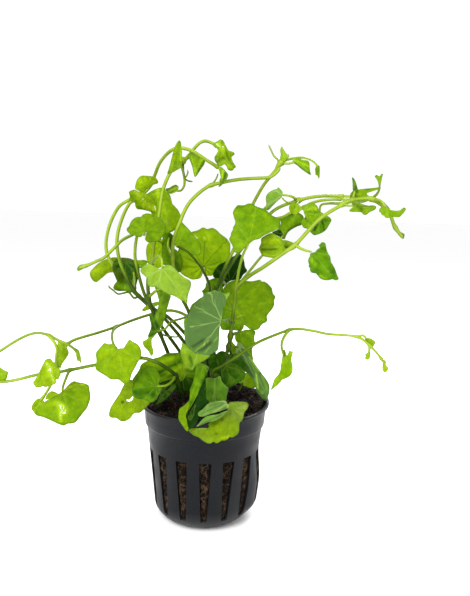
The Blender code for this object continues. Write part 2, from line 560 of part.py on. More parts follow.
def describe_lower_leaves():
    leaf("leaf_runner_right", "runner_right", (289, 330.5), (287, 351, -15), (272, 391, -16), 4.4, 1.4,
         lobes=(1.2, 1.2), petiole=[(284, 338, -14.5), (282, 345, -15)], turn=25, fold=16, tapers=(-0.3, 0.1))
    leaf("leaf_runner_cluster", "runner_left_lower", (49, 335.5), (57, 368, -25), (35, 386, -27), 4.4, 5.8,
         lobes=(1.6, 1.6), petiole=[(54, 342, -25.5), (57, 349, -26), (56, 358, -26)], fold=-12,
         tapers=(0.0, -0.2))
    leaf("leaf_runner_low", "runner_left_lower", (70, 370), (62, 392, -24), (74, 424, -26), 9.4, 11.4,
         lobes=(3.4, 1.0), petiole=[(66.5, 377, -19), (63.5, 385, -22)], notch=24, fold=-8)
    leaf("leaf_runner_heart", "runner_left_upper", (117, 326.5), (117.5, 349, -20), (126, 384, -25.5), 8.2, 9.0,
         lobes=(5.4, 5.2), petiole=[(113, 331, -3), (112, 338, -12), (114, 345, -17.5)], notch=36,
         tapers=(-0.05, 0.0))
    leaf("leaf_left_low_holed", None, (-13, -4), (140, 385, -16), (115, 420, -19), 6.4, 5.4,
         lobes=(1.6, 1.4), petiole=[(163, 393, -9), (151, 388, -13)], fold=-6)
    leaf("leaf_left_low_round", "runner_left_lower", (175, 375), (156, 386.5, -21), (133, 388, -25), 6.0, 9.2,
         lobes=(1.6, 1.6), petiole=[(172.5, 381, -17), (166, 385.5, -20)], turn=24, cup=-0.1)
    leaf("leaf_left_low_striped", None, (-7, -2), (182, 373, -8.5), (151, 361, -11.5), 8.0, 6.6,
         lobes=(2.0, 2.0), petiole=[(187, 388, -5)], fold=-8)
    leaf("leaf_front_tall", None, (-2, -8), (203, 366, -14), (188, 431, -34), 3.0, 5.8,
         lobes=(0.8, 0.8), petiole=[(204, 385, -10)], turn=-18, bend=-34, fold=12, tapers=(0.3, 0.35))
    leaf("leaf_front_upright", None, (4.5, -9), (215, 374, -13.5), (214, 405, -18), 4.4, 4.6,
         lobes=(0.8, 0.8), petiole=[(216, 388, -11.5)], bend=-16)
    leaf("leaf_front_cupped", None, (4, -15), (227, 403.5, -25.5), (196, 426, -36), 2.4, 3.6,
         lobes=(0.8, 1.2), bend=-24, fold=-16, petiole=[(217, 403, -20.5)])
    leaf("leaf_front_rim", None, (12, -10), (231, 408, -21), (191, 437, -32.5), 9.5, 2.4,
         lobes=(5.6, 0.6), bend=-50, turn=21)
    leaf("leaf_right_rim", "stem_right_lower", (229, 347), (239, 347, -1), (266, 399, -2.5), 4.4, 3.4,
         lobes=(0.6, 0.6), bend=-30, fold=-18)
    leaf("leaf_right_low_dark", None, (8, -2.5), (226, 366, -5), (234, 388, -8), 4.6, 3.4,
         lobes=(1.2, 1.0), petiole=[(226, 382, -4.5)], bend=-14)
    leaf("leaf_front_centre", "stem_right_lower", (232.5, 322), (222, 321, -15), (187, 328, -17), 11.6, 12.6,
         lobes=(0.8, 1.4), petiole=[(229, 319.5, -9)], notch=24, cup=0.06, tapers=(-0.25, -0.25),
         turn=16)
    leaf("leaf_front_lower", None, (-4, -3.5), (200, 344, -10.5), (191, 373, -11), 6.0, 6.2,
         lobes=(0.6, 0.6), petiole=[(203, 372, -6), (204, 352, -8.5)], fold=14)
    leaf("leaf_right_round", "stem_right_lower", (230, 338), (234, 308, 5), (275, 302, 8), 11.6, 9.8,
         lobes=(3.2, 1.6), petiole=[(232, 324, 3.5)], notch=24, cup=-0.04, turn=-18)
    leaf("leaf_right_round_low", "stem_right_lower", (230.5, 334), (242, 324, 1.5), (222, 322, 2), 3.2, 4.4,
         lobes=(0.8, 0.8), petiole=[(240, 331, 1)])
    leaf("leaf_right_low", "stem_right_lower", (230.5, 336), (240, 331, 5), (250, 358, 5), 3.6, 4.2,
         lobes=(1.0, 0.6))
    leaf("leaf_back_dark", "stem_right_upper", (222, 281), (230, 282, 13), (226, 257, 15), 6.0, 6.8,
         lobes=(1.2, 1.2), petiole=[(227, 285, 11.5)])
    leaf("leaf_back_small", "stem_right_upper", (214, 303), (220, 299, 12.5), (204, 287, 12.5), 4.4, 4.4,
         lobes=(1.0, 1.0))
    leaf("leaf_back_low", None, (10, 9), (222, 376, 7), (215, 353, 7), 4.6, 5.0,
         lobes=(1.0, 1.0), petiole=[(225, 384, 8)])
    leaf("leaf_yellow_small", None, (14, 5), (243, 382, 4), (254, 378, 2), 2.4, 2.4, lobes=(0.4, 0.4))


# Building

def base_corner(inset):
    """The rounded corner under the pot's wall, an inset in from the outside."""
    places = []
    for step in range(1, CORNER_STEPS + 1):
        angle = math.radians(90) * step / CORNER_STEPS
        reach = CORNER_RADIUS - inset
        places.append((
            BASE_RADIUS - CORNER_RADIUS + reach * math.cos(angle),
            CORNER_RADIUS - reach * math.sin(angle),
        ))
    return places


def pot_profile():
    """The pot's wall in section, down its outside and up its inside."""
    lip_low = POT_HEIGHT - LIP_THICKNESS
    outer = [
        (LIP_RADIUS, POT_HEIGHT), (LIP_RADIUS, lip_low), (COLLAR_RADIUS, lip_low),
        (LEDGE_RADIUS + 0.6 * MM, LEDGE_HEIGHT), (LEDGE_RADIUS, LEDGE_HEIGHT),
        (BASE_RADIUS, CORNER_RADIUS), *base_corner(0.0),
    ]
    inner = [
        *reversed(base_corner(WALL)), (BASE_RADIUS - WALL, CORNER_RADIUS),
        (LEDGE_RADIUS - WALL, LEDGE_HEIGHT), (COLLAR_RADIUS - WALL, POT_HEIGHT),
    ]
    top = [(LIP_RADIUS, POT_HEIGHT)]
    return [*outer, (0.0, 0.0), (0.0, WALL), *inner, *top]


def slot_cutter(index):
    """A wedge that cuts one slot: wide at the top, narrow where it runs into the rounded base."""
    centre_r = BASE_RADIUS - CORNER_RADIUS
    inner, outer = centre_r + 2.2 * MM, LIP_RADIUS + 2 * MM
    corners = []
    for radius in (inner, outer):
        corners += [
            (-SLOT_BOTTOM_WIDTH / 2, -radius, SLOT_BOTTOM), (SLOT_BOTTOM_WIDTH / 2, -radius, SLOT_BOTTOM),
            (SLOT_TOP_WIDTH / 2, -radius, SLOT_TOP), (-SLOT_TOP_WIDTH / 2, -radius, SLOT_TOP),
        ]
    faces = [(0, 1, 2, 3), (7, 6, 5, 4), (0, 4, 5, 1), (1, 5, 6, 2), (2, 6, 7, 3), (3, 7, 4, 0)]
    mesh = bpy.data.meshes.new("slot")
    mesh.from_pydata(corners, [], faces)
    weld(mesh)
    cutter = bpy.data.objects.new(f"slot_{index}", mesh)
    cutter.rotation_euler.z = SLOT_TURN + math.tau * index / SLOT_COUNT
    return cutter


def drain_cutter(index):
    """A plug that cuts one drain hole in the base."""
    shape = bmesh.new()
    bmesh.ops.create_cone(shape, cap_ends=True, segments=8, radius1=DRAIN_RADIUS, radius2=DRAIN_RADIUS,
                          depth=4 * WALL)
    mesh = bpy.data.meshes.new("drain")
    shape.to_mesh(mesh)
    shape.free()
    cutter = bpy.data.objects.new(f"drain_{index}", mesh)
    angle = math.tau * index / DRAIN_COUNT
    cutter.location = (DRAIN_CIRCLE * math.cos(angle), DRAIN_CIRCLE * math.sin(angle), 0.0)
    return cutter


def build_pot():
    pot = turned("net_pot", pot_profile(), RING_SEGMENTS, make_material(*PLASTIC))
    cutters = [slot_cutter(index) for index in range(SLOT_COUNT)]
    cutters += [drain_cutter(index) for index in range(DRAIN_COUNT)]
    for cutter in cutters:
        bpy.data.collections["cutters"].objects.link(cutter)
        cutter.hide_render = True
        cutter.display_type = "WIRE"
        cut = pot.modifiers.new(cutter.name, "BOOLEAN")
        cut.operation = "DIFFERENCE"
        cut.object = cutter
        cut.solver = "EXACT"


def build_medium():
    """The plug of growing medium, a gap clear of the pot's inside."""
    inside = WALL + GAP
    rim_radius = LEDGE_RADIUS - inside
    profile = []
    for step in range(MOUND_STEPS + 1):
        radius = rim_radius * step / MOUND_STEPS
        profile.append((radius, medium_height(radius, 0.0)))
    profile += [(BASE_RADIUS - inside, CORNER_RADIUS), *base_corner(inside), (0.0, inside)]
    turned("growing_medium", profile, MEDIUM_SEGMENTS, make_material(*FIBRE))


def stem_route(name):
    """A stem's smooth route, from its foot or its parent's side to its tip."""
    plan = STEMS[name]
    points = [photo_point(*stop) for stop in plan["route"]]
    if plan["foot"]:
        points.insert(0, foot_point(*plan["foot"]))
    else:
        parent, at = plan["on"]
        radius = STEMS[parent]["radii"][0]
        points.insert(0, side_start(stem_route(parent), radius, at, points[0], plan["radii"][0]))
    return smooth_route(points, round(len(points) * STEM_STEPS))


def extra_meshes(route, radius, extra):
    """A twig, or a young leaf with its petiole, that grows out of a stem."""
    if "route" in extra:
        place, _ = nearest_on(route, extra["at"])
        points = [place, *(photo_point(*stop) for stop in extra["route"])]
        return [tube(smooth_route(points, len(points) + 1), extra["radius"], extra["radius"] * 0.8, 0)]
    place, _ = nearest_on(route, extra["at"])
    return [petiole_mesh(extra, place, TWIG_RADIUS), blade_mesh(extra, *YOUNG_GRID)]


def build_stem(name):
    plan = STEMS[name]
    route = stem_route(name)
    meshes = [tube(route, *plan["radii"], STEM_SIDES_STEP)]
    for extra in plan["extras"]:
        meshes += extra_meshes(route, plan["radii"][0], extra)
    joined(name, meshes, make_material(*STEM_GREEN))


def build_leaf(name):
    plan = LEAVES[name]
    first = photo_point(*plan["petiole"][0]) if plan["petiole"] else photo_point(*plan["heart"])
    if plan["on"]:
        radius = STEMS[plan["on"]]["radii"][0]
        start = side_start(stem_route(plan["on"]), radius, plan["at"], first, PETIOLE_RADIUS * 1.15)
    else:
        start = foot_point(*plan["at"])
    broad = plan["left"] + plan["right"] > BROAD_LEAF
    blade = blade_mesh(plan, *(BROAD_GRID if broad else SMALL_GRID))
    joined(name, [blade, petiole_mesh(plan, start, PETIOLE_RADIUS)], make_material(*LEAF_GREEN))


def clear_scene():
    for thing in list(bpy.data.objects):
        bpy.data.objects.remove(thing)
    for title in (NAME, "cutters"):
        if title not in bpy.data.collections:
            bpy.context.scene.collection.children.link(bpy.data.collections.new(title))


def main():
    clear_scene()
    describe_stems()
    describe_young_leaves()
    describe_upper_leaves()
    describe_lower_leaves()
    build_pot()
    build_medium()
    for name in STEMS:
        build_stem(name)
    for name in LEAVES:
        build_leaf(name)


main()
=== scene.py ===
# %% [markdown]
# # Potted Japanese cress
#
# The real object is a small water plant, grown above water in a black net pot. Its stems
# are thin and limp, its leaves are round with a shallow scalloped margin, and a plug of
# brown fibre holds the roots. The part's solids are loaded first, as a fixed frame. Every
# visible piece below is made anew around its solid and rides on the frame's one body, so
# that the looks and the physics stay in the same place.

# %% Load the fixed frame
import math

import bmesh
import bpy
import numpy as np
from mathutils import Matrix, Vector


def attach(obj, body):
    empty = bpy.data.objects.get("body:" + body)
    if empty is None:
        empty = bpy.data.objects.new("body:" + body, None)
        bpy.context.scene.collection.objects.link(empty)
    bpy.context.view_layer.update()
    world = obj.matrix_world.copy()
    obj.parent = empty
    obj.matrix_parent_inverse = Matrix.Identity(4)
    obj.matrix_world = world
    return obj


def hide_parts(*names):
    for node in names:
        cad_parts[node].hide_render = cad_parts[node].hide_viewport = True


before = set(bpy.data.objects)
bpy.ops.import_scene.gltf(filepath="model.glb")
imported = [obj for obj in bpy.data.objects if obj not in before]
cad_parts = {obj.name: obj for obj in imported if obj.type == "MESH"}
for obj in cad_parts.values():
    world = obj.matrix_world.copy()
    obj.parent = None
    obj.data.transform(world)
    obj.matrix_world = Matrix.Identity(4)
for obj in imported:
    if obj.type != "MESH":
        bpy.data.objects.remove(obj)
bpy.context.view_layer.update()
MM = 0.001

# %% [markdown]
# ## The camera
#
# The photograph was taken from a little above the plant. Where the pot's rings and slots
# fall in it fixes the camera: how far, how high, how tilted, and the focal length in pixels.
# The same numbers later turn any pixel and a depth into a place in space, which is how the
# routes of the stems are written down. A camera matrix has the view's right, up and backward
# directions as its columns.

# %% Make the camera
PHOTO_SIZE = (470.0, 596.0)
FOCAL_LENGTH = 620.0
SENSOR = 36.0
CAMERA_PLACE = np.array([0.0, -260.0, 130.0]) * MM
CAMERA_DOWN = math.radians(7.6)
CAMERA_RIGHTWARD = math.radians(2.5)
CAMERA_ROLL = math.radians(1.85)


def view_axes():
    """Forward, right and up of the view, from its turn, its tilt and its roll."""
    turn_sin, turn_cos = math.sin(CAMERA_RIGHTWARD), math.cos(CAMERA_RIGHTWARD)
    down_sin, down_cos = math.sin(CAMERA_DOWN), math.cos(CAMERA_DOWN)
    forward = np.array([turn_sin * down_cos, turn_cos * down_cos, -down_sin])
    level = np.array([turn_cos, -turn_sin, 0.0])
    upright = np.cross(level, forward)
    right = level * math.cos(CAMERA_ROLL) + upright * math.sin(CAMERA_ROLL)
    up = upright * math.cos(CAMERA_ROLL) - level * math.sin(CAMERA_ROLL)
    return forward, right, up


FORWARD, RIGHT, UP = view_axes()
camera_data = bpy.data.cameras.new("camera")
camera_data.sensor_width = SENSOR
camera_data.lens = FOCAL_LENGTH * SENSOR / max(PHOTO_SIZE)
camera = bpy.data.objects.new("camera", camera_data)
bpy.context.scene.collection.objects.link(camera)
axes = np.eye(4)
axes[:3, 0], axes[:3, 1], axes[:3, 2], axes[:3, 3] = RIGHT, UP, -FORWARD, CAMERA_PLACE
camera.matrix_world = Matrix(axes.tolist())
bpy.context.scene.camera = camera
print("lens", round(camera_data.lens, 2), "mm")

# %% [markdown]
# ## Colours and nodes
#
# A colour is easiest to read as the hex code of a picture, which is in sRGB. Shaders count
# light in linear steps, so one function turns the code into those. Another small function
# adds a shader node with its settings and its links, so that a material reads as a list.

# %% Colour and node helpers
def linear(code):
    """Linear red, green, blue and alpha of an sRGB hex code."""
    parts = np.array([int(code[i:i + 2], 16) for i in (1, 3, 5)]) / 255
    parts = np.where(parts <= 0.04045, parts / 12.92, ((parts + 0.055) / 1.055) ** 2.4)
    return (*parts.tolist(), 1.0)


def add(tree, kind, settings=None, inputs=None):
    """Adds one shader node, with its own settings, and a value or a link for each input."""
    node = tree.nodes.new("ShaderNode" + kind)
    for key, value in (settings or {}).items():
        setattr(node, key, value)
    for key, value in (inputs or {}).items():
        if isinstance(value, bpy.types.NodeSocket):
            tree.links.new(value, node.inputs[key])
        else:
            node.inputs[key].default_value = value
    return node


def blank_material(name):
    """A material with its Principled shader and its output, and its node tree."""
    material = bpy.data.materials.new(name)
    material.use_nodes = True
    tree = material.node_tree
    return material, tree, tree.nodes["Principled BSDF"], tree.nodes["Material Output"]


print("plain white is", linear("#FFFFFF"))

# %% [markdown]
# ## Floor and light
#
# The photograph is a bright studio picture on white. A plain pale floor and a white sky give
# its even light. A large soft lamp at the upper left front brings out the satin of the leaves
# and of the pot, and a second one behind the plant shines through the leaves, which is what
# makes real cress look so bright.

# %% Make the floor and the lights
WORLD_STRENGTH = 1.05
bpy.context.scene.view_settings.view_transform = "Standard"
world = bpy.data.worlds.new("studio")
world.use_nodes = True
world.node_tree.nodes["Background"].inputs["Color"].default_value = linear("#FFFFFF")
world.node_tree.nodes["Background"].inputs["Strength"].default_value = WORLD_STRENGTH
bpy.context.scene.world = world


def soft_light(name, place, aim, size, watts):
    """A square area lamp at a place in metres that faces the point aim."""
    data = bpy.data.lights.new(name, "AREA")
    data.energy = watts
    data.size = size
    lamp = bpy.data.objects.new(name, data)
    bpy.context.scene.collection.objects.link(lamp)
    lamp.location = place
    lamp.rotation_euler = (Vector(aim) - Vector(place)).to_track_quat("-Z", "Y").to_euler()
    return lamp


PLANT_MIDDLE = (0.0, 0.0, 0.09)
FLOOR_REACH = 40.0
soft_light("key_light", (-0.35, -0.45, 0.55), PLANT_MIDDLE, size=0.45, watts=6.0)
soft_light("back_light", (0.25, 0.50, 0.50), PLANT_MIDDLE, size=0.35, watts=5.0)
floor_mesh = bpy.data.meshes.new("floor")
floor_corners = np.array([(-1, -1, 0), (1, -1, 0), (1, 1, 0), (-1, 1, 0)]) * FLOOR_REACH
floor_mesh.from_pydata(floor_corners.tolist(), [], [(0, 1, 2, 3)])
floor = bpy.data.objects.new("floor", floor_mesh)
bpy.context.scene.collection.objects.link(floor)
white, _, floor_shader, _ = blank_material("white_paper_sweep")
floor_shader.inputs["Base Color"].default_value = linear("#F7F7F7")
floor_shader.inputs["Roughness"].default_value = 0.9
floor_shader.inputs["Specular IOR Level"].default_value = 0.1
floor_mesh.materials.append(white)

# %% [markdown]
# ## Skins
#
# Every piece here is a closed skin: a pole, rows of points round it, and another pole. A tube,
# a leaf and the pot differ only in how their rows are worked out. One function makes the
# faces of such rows and turns them outwards, by the sign of the volume that they enclose. A
# second one writes several skins into one mesh, with the numbers that the materials read.

# %% Closed skins and pieces
BLADE = "blade"
TONE = "tone"


def closed_skin(rows, start, end, material=0, **marks):
    """A closed skin from rows (row, column, 3) and its two poles.

    The volume is a sixth of the sum of a . (b x c) over its triangles. If it is negative the
    faces look inwards, and the columns are reversed.
    """
    row_count, columns, _ = rows.shape
    vertices = np.vstack([start, rows.reshape(-1, 3), end])
    index = 1 + np.arange(row_count * columns).reshape(row_count, columns)
    beside = np.roll(index, -1, axis=1)
    quads = np.stack([index[:-1], beside[:-1], beside[1:], index[1:]], axis=-1).reshape(-1, 4)
    first = np.stack([np.zeros(columns, int), beside[0], index[0]], axis=-1)
    last = np.stack([np.full(columns, len(vertices) - 1), index[-1], beside[-1]], axis=-1)
    triangles = np.vstack([first, last])
    halves = np.vstack([quads[:, [0, 1, 2]], quads[:, [0, 2, 3]], triangles])
    a, b, c = (vertices[halves[:, k]] - vertices[0] for k in range(3))
    if np.einsum("ij,ij->", a, np.cross(b, c)) < 0:
        quads, triangles = quads[:, ::-1], triangles[:, ::-1]
    faces = {"quads": quads, "triangles": triangles, "material": material}
    return {"vertices": vertices, **faces, **marks}


def gathered(skins, key, width):
    """One column block of all skins' marks, with zeros where a skin has none."""
    return np.vstack([skin.get(key, np.zeros((len(skin["vertices"]), width))) for skin in skins])


def build_piece(name, skins, materials):
    """Writes skins into one mesh and returns its object, which rides on the body root."""
    sizes = [len(skin["vertices"]) for skin in skins]
    offsets = np.concatenate([[0], np.cumsum(sizes)])[:-1]
    quads = np.vstack([skin["quads"] + shift for skin, shift in zip(skins, offsets)])
    triangles = np.vstack([skin["triangles"] + shift for skin, shift in zip(skins, offsets)])
    mesh = bpy.data.meshes.new(name)
    mesh.vertices.add(sum(sizes))
    mesh.vertices.foreach_set("co", gathered(skins, "vertices", 3).astype(np.float32).ravel())
    corners = np.concatenate([quads.ravel(), triangles.ravel()])
    mesh.loops.add(corners.size)
    mesh.loops.foreach_set("vertex_index", corners.astype(np.int32))
    mesh.polygons.add(len(quads) + len(triangles))
    starts = np.concatenate([np.arange(len(quads)) * 4, quads.size + np.arange(len(triangles)) * 3])
    mesh.polygons.foreach_set("loop_start", starts.astype(np.int32))
    wears = np.concatenate([
        np.full(len(skin[kind]), skin["material"])
        for kind in ("quads", "triangles") for skin in skins
    ])
    mesh.polygons.foreach_set("material_index", wears.astype(np.int32))
    for key in (BLADE, TONE):
        marks = mesh.attributes.new(key, "FLOAT_VECTOR", "POINT")
        marks.data.foreach_set("vector", gathered(skins, key, 3).astype(np.float32).ravel())
    mesh.update(calc_edges=True)
    mesh.validate()
    mesh.shade_smooth()
    for material in materials:
        mesh.materials.append(material)
    piece = bpy.data.objects.new(name, mesh)
    bpy.context.scene.collection.objects.link(piece)
    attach(piece, "root")
    return piece


print("marks on every skin:", BLADE, TONE)

# %% [markdown]
# ## From a pixel to a place
#
# A pixel of the photograph is a sight line. With a depth behind the pot's axis it becomes
# one place. The plant opens to the front and the back as it does to the sides, so above the
# pot's lip the depths are stretched, by up to seven tenths. A photograph has no depths of its
# own, and these come from which leaf hides which, and from how such a plant grows.

# %% Places from pixels
SPREAD_FROM = 400.0
SPREAD_FULL = 310.0
DEPTH_SPREAD = 0.7


def sight_lines(across, down):
    """The direction (n, 3) in which each pixel looks, one unit deep along the view."""
    ray = FORWARD + np.outer((across - PHOTO_SIZE[0] / 2) / FOCAL_LENGTH, RIGHT)
    return ray - np.outer((down - PHOTO_SIZE[1] / 2) / FOCAL_LENGTH, UP)


def photo_points(stops):
    """Places (n, 3) that pixels show: camera + ray * (depth - camera depth) / ray depth.

    A stop is (pixels across, pixels down, millimetres behind the pot's axis).
    """
    across, down, depth = np.atleast_2d(np.asarray(stops, float)).T
    height = np.clip((SPREAD_FROM - down) / (SPREAD_FROM - SPREAD_FULL), 0.0, 1.0)
    depth = depth * (1.0 + DEPTH_SPREAD * height) * MM
    ray = sight_lines(across, down)
    return CAMERA_PLACE + ray * ((depth - CAMERA_PLACE[1]) / ray[:, 1])[:, None]


def pixels_of(places):
    """Pixels across and down at which places (..., 3) are seen."""
    away = places - CAMERA_PLACE
    scale = FOCAL_LENGTH / (away @ FORWARD)
    return PHOTO_SIZE[0] / 2 + (away @ RIGHT) * scale, PHOTO_SIZE[1] / 2 - (away @ UP) * scale


print("the photograph's centre at the pot's axis is", photo_points((235, 298, 0)).round(4))

# %% [markdown]
# ## Routes and tubes
#
# A stem is a round profile carried along a smooth route. The route is a Catmull-Rom curve,
# which goes through each of its points, cut into even steps. The profile's ring stands square
# to the route. Its two directions come from one fixed reference, the direction that the route
# runs along least, so the ring doesn't twist.

# %% Smooth routes and tubes
ROUTE_STEP = 0.8 * MM
LEAST_STEPS = 3
CURVE_STEPS = 12
STEM_SIDES = 16
END_TAPER = 0.08
# painted light and shade on stems: weights for a side facing front or back, and for a side facing up
PAINTED_LIGHT_SIDES, PAINTED_LIGHT_TOP = 0.65, 0.35


def unit(vectors):
    """Vectors scaled to length one."""
    return vectors / np.maximum(np.linalg.norm(vectors, axis=-1, keepdims=True), 1e-12)


def even_steps(knots, step, least):
    """Even steps along the cubic 0.5 (2b + (c-a)t + (2a-5b+4c-d)t^2 + (3b-a-3c+d)t^3).

    The first and the last knot only give the curve its direction at its two ends.
    """
    t = (np.arange(CURVE_STEPS) / CURVE_STEPS)[None, :, None]
    a, b, c, d = (knots[k:len(knots) - 3 + k, None] for k in range(4))
    square, cube = 2 * a - 5 * b + 4 * c - d, 3 * b - a - 3 * c + d
    curve = 0.5 * (2 * b + (c - a) * t + square * t ** 2 + cube * t ** 3)
    fine = np.vstack([curve.reshape(-1, knots.shape[1]), knots[-2:-1]])
    run = np.concatenate([[0.0], np.cumsum(np.linalg.norm(np.diff(fine, axis=0), axis=1))])
    marks = np.linspace(0.0, run[-1], max(int(run[-1] / step), least) + 1)
    return np.stack([np.interp(marks, run, column) for column in fine.T], axis=1)


def smooth_route(points, step=ROUTE_STEP):
    """A smooth open route through points (n, 3)."""
    points = np.asarray(points, float)
    ends = 2 * points[[0, -1]] - points[[1, -2]]
    return even_steps(np.vstack([ends[:1], points, ends[1:]]), step, LEAST_STEPS)


def smooth_loop(points, step, least):
    """A smooth closed loop through points, without its first point again at the end."""
    points = np.asarray(points, float)
    return even_steps(points[np.arange(-1, len(points) + 2) % len(points)], step, least)[:-1]


def nearest_on(route, pixel):
    """Where a route passes closest to a pixel's sight line, and its direction there."""
    sight = unit(photo_points((*pixel, 0.0))[0] - CAMERA_PLACE)
    away = route - CAMERA_PLACE
    miss = np.linalg.norm(away - np.outer(away @ sight, sight), axis=1)
    index = int(miss.argmin())
    return route[index], unit(np.gradient(route, axis=0))[index]


def tube_rings(route, radii, sides):
    """Rings (n, sides, 3): route + radius * (cos a * side + sin a * other)."""
    tangents = unit(np.gradient(route, axis=0))
    reference = np.linalg.svd(tangents, full_matrices=False)[2][-1]
    side = unit(np.cross(tangents, reference))
    other = np.cross(side, tangents)
    turns = np.arange(sides) / sides * math.tau
    across, up = np.cos(turns)[None, :, None], np.sin(turns)[None, :, None]
    ring = across * side[:, None] + up * other[:, None]
    return route[:, None] + np.asarray(radii)[:, None, None] * ring


def tube_skin(route, start_radius, end_radius, tone, sides=STEM_SIDES, swellings=(), material=0):
    """A closed tube. Its radius goes evenly from start to end, plus a hump at each swelling.

    A swelling is (place, extra radius, half length). The far end is rounded off: its last
    rings shrink as the square root of what is left. The second mark is painted light and
    shade, lighter on the front, the back and the top: mostly the square of how far a side
    faces along Y. The tone is one number, or one for each place of the route.
    """
    share = np.linspace(0.0, 1.0, len(route))
    radii = start_radius + (end_radius - start_radius) * share
    for place, extra, half_length in swellings:
        distance = np.linalg.norm(route - place, axis=1)
        radii = radii + extra * np.exp(-(distance / half_length) ** 2)
    left = np.linalg.norm(route - route[-1], axis=1) / end_radius
    radii = radii * np.sqrt(np.clip(left, END_TAPER, 1.0))
    rings = tube_rings(route, radii, sides)
    facing = unit(rings - route[:, None])
    # painted light and shade: sides that face along Y or upwards are painted lighter
    painted_streak = PAINTED_LIGHT_SIDES * facing[..., 1] ** 2 + PAINTED_LIGHT_TOP * (0.5 + 0.5 * facing[..., 2])
    painted_streak = np.concatenate([[0.0], painted_streak.ravel(), [0.0]])
    tones = np.repeat(np.broadcast_to(tone, len(route)), sides)
    tones = np.concatenate([tones[:1], tones, tones[-1:]])
    marks = np.stack([tones, painted_streak, 0.0 * painted_streak], axis=1)
    return closed_skin(rings, route[0], route[-1], material, tone=marks)


print("a straight 10 mm route has", len(smooth_route([[0, 0, 0], [0, 0, 10 * MM]])), "points")

# %% [markdown]
# ## A cress leaf
#
# A cress leaf is nearly round. Its petiole joins it at a notch between two lobes, the heart,
# and veins fan out from there to the shallow scallops of the margin. No two margins are alike,
# and by its margin the eye knows the leaf. So each margin is a smooth loop through the few
# pixels at which it turns. Those sight lines are cut with the leaf's own plane, which holds
# its midrib and can be turned about it. The blade is a polar grid inside the loop. Folds,
# bends and relief lift it along the sight lines, so that its margin stays where it is seen.

# %% Blade planes and relief
LEAF_THICKNESS = 0.32 * MM
MARGIN_THINNING = 0.3
RIM_REACH = 0.3
SOFT_FOLD = 0.6 * MM
MARGIN_STEP_PIXELS = 1.25
MARGIN_LEAST_STEPS = 36
RING_STEP = 0.75 * MM
LEAST_RINGS = 5
STEEPEST = 0.35
DOME_REACH = 1.25
MARGIN_WAVES = 4
RIPPLE_SHARE = 0.012
RIPPLE_ACROSS, RIPPLE_ALONG = 1.9 * MM, 2.3 * MM


def ping(value, half):
    """A triangle wave: the distance from value to the nearest multiple of 2 * half."""
    return np.abs((value / (2 * half) + 0.5) % 1.0 - 0.5) * 2 * half


def leaf_frame(plan):
    """The heart, the midrib's length, and the leaf's rightward, forward and facing directions."""
    heart, tip = photo_points([plan["heart"], plan["tip"]])
    forward = unit(tip - heart)
    to_camera = unit(CAMERA_PLACE - heart)
    facing = unit(to_camera - forward * (to_camera @ forward))
    rightward = np.cross(forward, facing)
    turn = math.radians(plan["turn"])
    rightward, facing = (
        rightward * math.cos(turn) - facing * math.sin(turn),
        facing * math.cos(turn) + rightward * math.sin(turn),
    )
    return heart, np.linalg.norm(tip - heart), np.stack([rightward, forward, facing])


def on_plane(pixels, heart, facing):
    """Where pixels (n, 2) meet the plane through the heart that faces facing."""
    ray = sight_lines(*np.asarray(pixels, float).T)
    return CAMERA_PLACE + ray * (((heart - CAMERA_PLACE) @ facing) / (ray @ facing))[:, None]


def strokes(places, marks):
    """The sum of soft strokes, each amount * exp(-(distance from its line / half width)^2).

    A stroke runs between two pixels: (across, down, across, down, half width, amount).
    """
    across, down = pixels_of(places)
    total = np.zeros(across.shape)
    for x0, y0, x1, y1, half_width, amount in marks:
        run = np.array([x1 - x0, y1 - y0], float)
        share = ((across - x0) * run[0] + (down - y0) * run[1]) / max(run @ run, 1e-9)
        share = np.clip(share, 0.0, 1.0)
        off = np.hypot(across - x0 - share * run[0], down - y0 - share * run[1])
        total = total + amount * np.exp(-(off / half_width) ** 2)
    return total


def blade_height(across, along, share, length, plan):
    """How far the blade stands off its plane, in metres.

    It is folded on the midrib by a share of across, cupped by cup * r^2 / length, and bent to
    an arc of bend by bend / 2 * along * (along / length - 1). Between two veins the tissue is
    domed, and the margin waves.
    """
    turn = np.arctan2(across, along)
    size = np.hypot(across, along)[-1].mean()
    folded = math.radians(plan["fold"]) * np.abs(across) / (np.abs(across) + SOFT_FOLD)
    height = np.abs(across) * np.sin(folded)
    height = height + plan["cup"] * (across ** 2 + along ** 2) / length
    height = height + math.radians(plan["bend"]) / 2 * along * (along / length - 1.0)
    domes = 0.5 - 0.5 * np.cos(turn * plan["veins"])
    height = height + plan["pucker"] * size * domes * share * (DOME_REACH - share)
    wave = np.sin(MARGIN_WAVES * turn + 3 * plan["seed"])
    height = height + plan["wave"] * size * share ** 3 * wave
    ripple = np.sin(across / RIPPLE_ACROSS + plan["seed"])
    ripple = ripple * np.sin(along / RIPPLE_ALONG - plan["seed"])
    return height + RIPPLE_SHARE * size * ripple * share + plan["lift"] * MM


print("distance of 2.7 veins from a whole one:", ping(2.7, 0.5).round(2))

# %% [markdown]
# The blade gets its thickness here too. The grid's near side and far side are one closed
# skin that meets at the margin, thinner there than at the heart. Each point also carries
# what the leaf's material reads: how many veins it is from the midrib, its share of the way
# to the margin, and its distance from the heart in millimetres.

